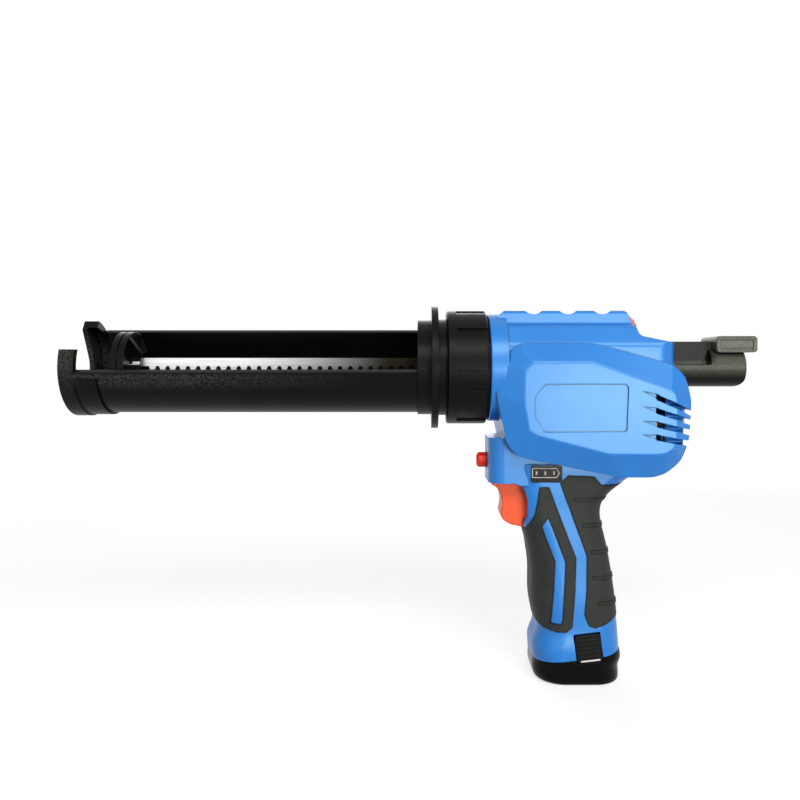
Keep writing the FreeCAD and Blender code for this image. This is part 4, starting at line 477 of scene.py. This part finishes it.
# %% [markdown]
# ## Finding places on the solids
#
# The small pieces that follow have to sit exactly on the solids. Their places could be typed in, but
# the solids know them: the box round a solid gives its ends, and a ray shot at it from the side
# gives the depth of its surface. Each solid's origin is the tool's origin, so no change of axes is
# needed. A last function hands a finished mesh to the body it rides on, so that it moves with it.

# %% Boxes, surfaces and pieces
RAY_START = 100 * MM
SIDES = ((-1, "left"), (1, "right"))


def box(node):
    """Low and high corner of a solid at rest, in mm to the nearest tenth."""
    return [[round(value / MM, 1) for value in corner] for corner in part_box(node)]


def skin(node, place, side):
    """The point of a solid's surface under a place (x, z) of the side view, given in mm."""
    start = Vector((place[0] * MM, side * RAY_START, place[1] * MM))
    hit, found, _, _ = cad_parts[node].ray_cast(start, Vector((0, -side, 0)))
    if not hit:
        raise ValueError(f"no surface of {node} at {place}")
    return found


def piece(name, mesh, material, body):
    """Turns a bmesh into an object that rides on a body."""
    data = bpy.data.meshes.new(name)
    bmesh.ops.recalc_face_normals(mesh, faces=mesh.faces)
    mesh.to_mesh(data)
    mesh.free()
    data.materials.append(material)
    made = bpy.data.objects.new(name, data)
    scene.collection.objects.link(made)
    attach(made, body)
    return made


print("gauge window in mm:", *box("battery_gauge"))

# %% [markdown]
# ## Printed lines
#
# A charge gauge is printed on its window: the outline of a battery with three small lamps in it. A
# white line is printed across the foot of each latch to show where to press. A print has next to no
# thickness, but a sheet without any would flicker against the surface under it. So each line is a
# thin closed ribbon that starts under the surface and stands proud by a few hundredths of a
# millimetre. Its points are given in the side view only, and the ray finds the depth of each.

# %% A line that follows a surface
PRINT_PROUD, PRINT_SUNK = 0.05 * MM, 0.1 * MM


def ribbon(name, node, line, width, material, body, side=-1, closed=False, columns=1):
    """A printed line of a width in mm along points of the side view, in columns on a round face."""
    points = [Vector(point) for point in line]
    mesh = bmesh.new()
    rows = []
    for i, point in enumerate(points):
        first, last = not closed and i == 0, not closed and i == len(points) - 1
        steps = [] if first else [(point - points[i - 1]).normalized()]
        steps += [] if last else [(points[(i + 1) % len(points)] - point).normalized()]
        along = sum(steps, Vector((0, 0))) / len(steps)
        across = Vector((-along.y, along.x)) * (width / 2 / along.length_squared)
        edges = [skin(node, point + across * (1 - 2 * k / columns), side) for k in range(columns + 1)]
        ring = [(edge, PRINT_PROUD) for edge in edges] + [(edge, -PRINT_SUNK) for edge in edges[::-1]]
        rows.append([mesh.verts.new(edge + Vector((0, side * lift, 0))) for edge, lift in ring])
    pairs = list(zip(rows, rows[1:] + rows[:1])) if closed else list(zip(rows, rows[1:]))
    for a, b in pairs:
        for k in range(len(a)):
            mesh.faces.new((a[k], a[k - 1], b[k - 1], b[k]))
    if not closed:
        mesh.faces.new(rows[0])
        mesh.faces.new(rows[-1])
    return piece(name, mesh, material, body)


print("ribbons stand proud by mm:", PRINT_PROUD / MM)

# %% [markdown]
# ## The marks on gauge and latches
#
# The gauge's outline keeps a bare margin to the edges of its window and ends in a blunt point, as a
# battery sign does. The latch line is given from the low corner of the latch. It has a point in the
# middle as well, because the latch is slightly round.

# %% Print the marks
MARGIN_LEFT, MARGIN_TIP, MARGIN_LOW, MARGIN_TOP = 0.8, 1.7, 2.9, 1.9
OUTLINE_POINT, OUTLINE_WIDTH = 1.6, 0.55
LAMP_COUNT, LAMP_FIRST, LAMP_STEP = 3, 2.4, 5.2
LAMP_HALF, LAMP_WIDTH = 1.1, 0.9
LATCH_LINE, LATCH_LINE_WIDTH = ((3.5, 1.0), (9.3, 1.6), (15.0, 2.3)), 0.95

# Thin ink, stamped on: a flat, even tone with crisp edges.
white_ink = moulded("white_pad_printing_ink", "#e9e9ea", "#dededf", 0.5, relief=0.004)
grey_ink = moulded("grey_pad_printing_ink", "#c9bfc3", "#beb5b9", 0.5, relief=0.004)

window_low, window_high = box("battery_gauge")
left, tip = window_low[0] + MARGIN_LEFT, window_high[0] - MARGIN_TIP
foot, top = window_low[2] + MARGIN_LOW, window_high[2] - MARGIN_TOP
middle = (foot + top) / 2
outline = ((left, foot), (left, top), (tip - OUTLINE_POINT, top), (tip, middle),
           (tip - OUTLINE_POINT, foot))
prints = [ribbon("gauge_outline", "battery_gauge", outline, OUTLINE_WIDTH, grey_ink, "body", closed=True)]
for i in range(LAMP_COUNT):
    x = left + LAMP_FIRST + LAMP_STEP * i
    prints.append(ribbon(f"gauge_lamp_{i}", "battery_gauge",
                         ((x, middle - LAMP_HALF), (x, middle + LAMP_HALF)), LAMP_WIDTH, grey_ink, "body"))
for side, label in SIDES:
    latch = f"battery_latch_{label}"
    corner = box(latch)[0]
    line = [(corner[0] + x, corner[2] + z) for x, z in LATCH_LINE]
    prints.append(ribbon(f"latch_line_{label}", latch, line, LATCH_LINE_WIDTH, white_ink,
                         f"latch_{label}", side))
print("printed lines:", len(prints))

# %% [markdown]
# ## Flat pieces
#
# The screw heads have a cross recess for the driver, and a corrugated dust screen stands behind the
# cooling slots. The cross could be cut from the head, but the solids stay as they are; so a thin
# cross, dark with painted shade, lies on the head instead. All of these are flat outlines that are
# pulled straight, so one function makes them. Another finds the screws: the points on the highest
# face belong to heads that lie well apart, so points near each other belong to one head.

# %% Outlines pulled straight
HEAD_GAP, FACE_SLACK = 8.0, 0.05


def plate(name, outline, axis, low, high, material, body):
    """A closed prism: an outline in mm, (y, z) along X or (x, z) along Y, between two places."""
    mesh = bmesh.new()
    ends = []
    for level in (low, high):
        spots = [(level, a, b) if axis == "X" else (a, level, b) for a, b in outline]
        ends.append([mesh.verts.new(Vector(spot) * MM) for spot in spots])
        mesh.faces.new(ends[-1])
    for k in range(len(outline)):
        mesh.faces.new((ends[0][k], ends[0][k - 1], ends[1][k - 1], ends[1][k]))
    return piece(name, mesh, material, body)


def cross(centre, arm, half):
    """The outline of a cross recess."""
    corner = ((half, half), (half, arm), (-half, arm))
    turns = ((1, 0, 0, 1), (0, -1, 1, 0), (-1, 0, 0, -1), (0, 1, -1, 0))
    return [(centre[0] + a * x + b * y, centre[1] + c * x + d * y)
            for a, b, c, d in turns for x, y in corner]


def heads(node, face):
    """Middles (x, z) of the round heads that end at a solid's face Y, in mm to the nearest tenth."""
    found = []
    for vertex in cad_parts[node].data.vertices:
        point = vertex.co / MM
        if point.y < face - FACE_SLACK:
            continue
        near = [head for head in found if (head[0] - point).length < HEAD_GAP]
        if near:
            near[0].append(point)
        else:
            found.append([point])
    spans = [[sorted(point[k] for point in head) for k in (0, 2)] for head in found]
    return [[round((span[0] + span[-1]) / 2, 1) for span in pair] for pair in spans]


head_face = box("housing_screws")[1][1]
screw_spots = heads("housing_screws", head_face)
print("screw heads:", screw_spots)

# %% [markdown]
# ## Crosses, dust screens and the hub slot
#
# The crosses are sunk into the heads and stand proud by a hair. The cooling slots are openings and
# no solids, so the place of the screen behind them is given in millimetres. The rod shows through a
# slot in the hub of the pusher; there the slot is a steel ribbon that follows the round hub.

# %% Place the flat pieces
CROSS_SUNK, CROSS_PROUD = 0.3, 0.02
SCREW_CROSS, PUSHER_CROSS = (1.5, 0.35), (3.2, 0.7)
SCREEN_FRONT, SCREEN_REAR, SCREEN_LOW, SCREEN_HIGH = 49.5, 60.0, 142.0, 178.0
SCREEN_FACE, SCREEN_WAVE, SCREEN_PITCH, SCREEN_THICK = 24.0, 0.6, 5.0, 1.2
SCREEN_STEP = 0.5
SLOT_ENDS, SLOT_DROP, SLOT_WIDTH, SLOT_COLUMNS = (4.9, 0.4), 0.7, 2.0, 3

# Painted shade for the bottom of a recess: a black that gives back almost no light.
recess_shade = metal("recess_painted_shade", "#0d0d0e", "#080809", 0.6, (0.5, 0.5, 0.5))
small = []
for i, spot in enumerate(screw_spots):
    small.append(plate(f"screw_cross_{i}", cross(spot, *SCREW_CROSS), "Y", head_face - CROSS_SUNK,
                       head_face + CROSS_PROUD, recess_shade, "body"))
screw_low, screw_high = box("pusher_screw")
rod_height = (screw_low[2] + screw_high[2]) / 2
small.append(plate("pusher_cross", cross((0.0, rod_height), *PUSHER_CROSS), "X",
                   screw_low[0] - CROSS_PROUD, screw_low[0] + CROSS_SUNK, recess_shade, "rod"))

steps = round((SCREEN_HIGH - SCREEN_LOW) / SCREEN_STEP)
heights = [SCREEN_LOW + SCREEN_STEP * k for k in range(steps + 1)]
waves = [SCREEN_FACE + SCREEN_WAVE * math.cos(2 * math.pi * z / SCREEN_PITCH) for z in heights]
for side, label in SIDES:
    front = [(side * y, z) for y, z in zip(waves, heights)]
    back = [(side * (y - SCREEN_THICK), z) for y, z in zip(waves, heights)]
    small.append(plate(f"dust_screen_{label}", front + back[::-1], "X", SCREEN_FRONT, SCREEN_REAR,
                       blue_abs, "body"))

hub_end = box("pusher")[1][0]
slot_line = [(hub_end - end, rod_height - SLOT_DROP) for end in SLOT_ENDS]
small.append(ribbon("pusher_slot", "pusher", slot_line, SLOT_WIDTH, rack_steel, "rod",
                    columns=SLOT_COLUMNS))
print("small pieces:", len(small))

# %% [markdown]
# ## The room
#
# The photograph is a product shot on white, and yet its blacks are deep. A white world all round
# would light the tool from every side and wash them out. So the world is white only for rays that
# come from the camera, from a glossy face or through a clear one. For the light that falls on the
# tool it is dim: half bright behind the tool and nearly dark in front of it.

# %% Build the room
FRONT_LIGHT, BACK_LIGHT = 0.04, 0.6
TURN_FROM, TURN_TO = -0.1, 0.7


def background_rays(tree):
    """Adds nodes that give 1 for rays that should meet the white background."""
    path = add(tree, "ShaderNodeLightPath")
    seen = add(tree, "ShaderNodeMath", {"operation": "MAXIMUM"},
               {0: path.outputs["Is Camera Ray"], 1: path.outputs["Is Transmission Ray"]})
    return add(tree, "ShaderNodeMath", {"operation": "MAXIMUM"},
               {0: seen.outputs[0], 1: path.outputs["Is Glossy Ray"]})


world = bpy.data.worlds.new("white_studio")
scene.world = world
world.use_nodes = True
tree = world.node_tree
tree.nodes.clear()
seen = background_rays(tree)
direction = add(tree, "ShaderNodeTexCoord")
axes = add(tree, "ShaderNodeSeparateXYZ", (), {0: direction.outputs["Generated"]})
behind = add(tree, "ShaderNodeMapRange",
             {"interpolation_type": "SMOOTHSTEP", "From Min": TURN_FROM, "From Max": TURN_TO,
              "To Min": FRONT_LIGHT, "To Max": BACK_LIGHT}, {"Value": axes.outputs["Y"]})
room = add(tree, "ShaderNodeBackground", {"Color": WHITE}, {"Strength": behind.outputs[0]})
white = add(tree, "ShaderNodeBackground", {"Color": WHITE, "Strength": 1.0})
either = add(tree, "ShaderNodeMixShader", (),
             {0: seen.outputs[0], 1: room.outputs[0], 2: white.outputs[0]})
add(tree, "ShaderNodeOutputWorld", (), {"Surface": either.outputs[0]})
print("room:", FRONT_LIGHT, "in front,", BACK_LIGHT, "behind")

# %% [markdown]
# ## The floor
#
# A floor that only glows would lose the shadow, and one that doesn't glow would look grey. So the
# floor is paper that takes light and shadow as any paper does, and for the same rays as above it
# glows as well: less near the tool, where its shadow falls, and more far away, where the floor meets
# the white of the room.

# %% Lay the floor
FLOOR_REACH = 6.0
FLOOR_DROP = 0.3 * MM
NEAR_LIFT, FAR_LIFT = 0.72, 0.95
NEAR, FAR = 0.7, 1.4

floor_mesh = bpy.data.meshes.new("studio_floor")
corners = [(x * FLOOR_REACH, y * FLOOR_REACH, 0) for x, y in ((-1, -1), (1, -1), (1, 1), (-1, 1))]
floor_mesh.from_pydata(corners, [], [(0, 1, 2, 3)])
floor = bpy.data.objects.new("studio_floor", floor_mesh)
floor.location.z = -FLOOR_DROP
scene.collection.objects.link(floor)

# Uncoated paper: no shine at all, and a shadow with soft edges.
paper, tree = empty_material("white_paper_backdrop")
seen = background_rays(tree)
matt = add(tree, "ShaderNodeBsdfDiffuse", {"Color": linear("#aaaaaa")})
spot = add(tree, "ShaderNodeTexCoord").outputs["Object"]
away = add(tree, "ShaderNodeVectorMath", {"operation": "LENGTH"}, {0: spot})
strength = add(tree, "ShaderNodeMapRange",
               {"From Min": NEAR, "From Max": FAR, "To Min": NEAR_LIFT, "To Max": FAR_LIFT},
               {"Value": away.outputs["Value"]})
lift = add(tree, "ShaderNodeEmission", (), {"Strength": strength.outputs[0]})
nothing = add(tree, "ShaderNodeEmission", {"Strength": 0.0})
lifted = add(tree, "ShaderNodeMixShader", (),
             {0: seen.outputs[0], 1: nothing.outputs[0], 2: lift.outputs[0]})
both = add(tree, "ShaderNodeAddShader", (), {0: matt.outputs[0], 1: lifted.outputs[0]})
add(tree, "ShaderNodeOutputMaterial", (), {"Surface": both.outputs[0]})
floor_mesh.materials.append(paper)
print("floor lift:", NEAR_LIFT, "near,", FAR_LIFT, "far")

# %% [markdown]
# ## The lamps
#
# In the photograph the flat faces of the housing are the lightest and grow lighter to the right. So
# the main lamp stands in front and to the right, where those faces mirror it, with a narrow one
# beside it. A broad lamp high up lights the upper slopes, a weak one on the left keeps the cradle
# from sinking into black, and one behind draws the edges along the top.

# %% Set up the lamps
LAMP_AIM = Vector((-0.05, 0, 0.17))
WARM, NEUTRAL = "#fffdf0", "#ffffff"
# Each lamp has a name, a place, a width and a height in metres, a power in watts and a colour.
LAMPS = (
    ("front_soft_box", (0.29, -1.15, 0.125), 0.34, 0.22, 4.9, WARM),
    ("right_soft_box", (0.62, -1.15, 0.24), 0.14, 0.3, 2.2, NEUTRAL),
    ("high_soft_box", (0.1, -0.85, 0.9), 1.1, 0.4, 9.5, WARM),
    ("left_soft_box", (-0.6, -1.15, 0.3), 0.8, 0.6, 2.0, NEUTRAL),
    ("back_soft_box", (-0.3, 1.2, 0.6), 1.2, 0.7, 6.0, NEUTRAL),
)
for name, place, width, height, power, colour in LAMPS:
    light = bpy.data.lights.new(name, "AREA")
    light.shape = "RECTANGLE"
    light.size = width
    light.size_y = height
    light.energy = power
    light.color = linear(colour)[:3]
    lamp = bpy.data.objects.new(name, light)
    lamp.location = place
    lamp.rotation_euler = (LAMP_AIM - Vector(place)).to_track_quat("-Z", "Y").to_euler()
    scene.collection.objects.link(lamp)
print("lamps:", len(LAMPS))
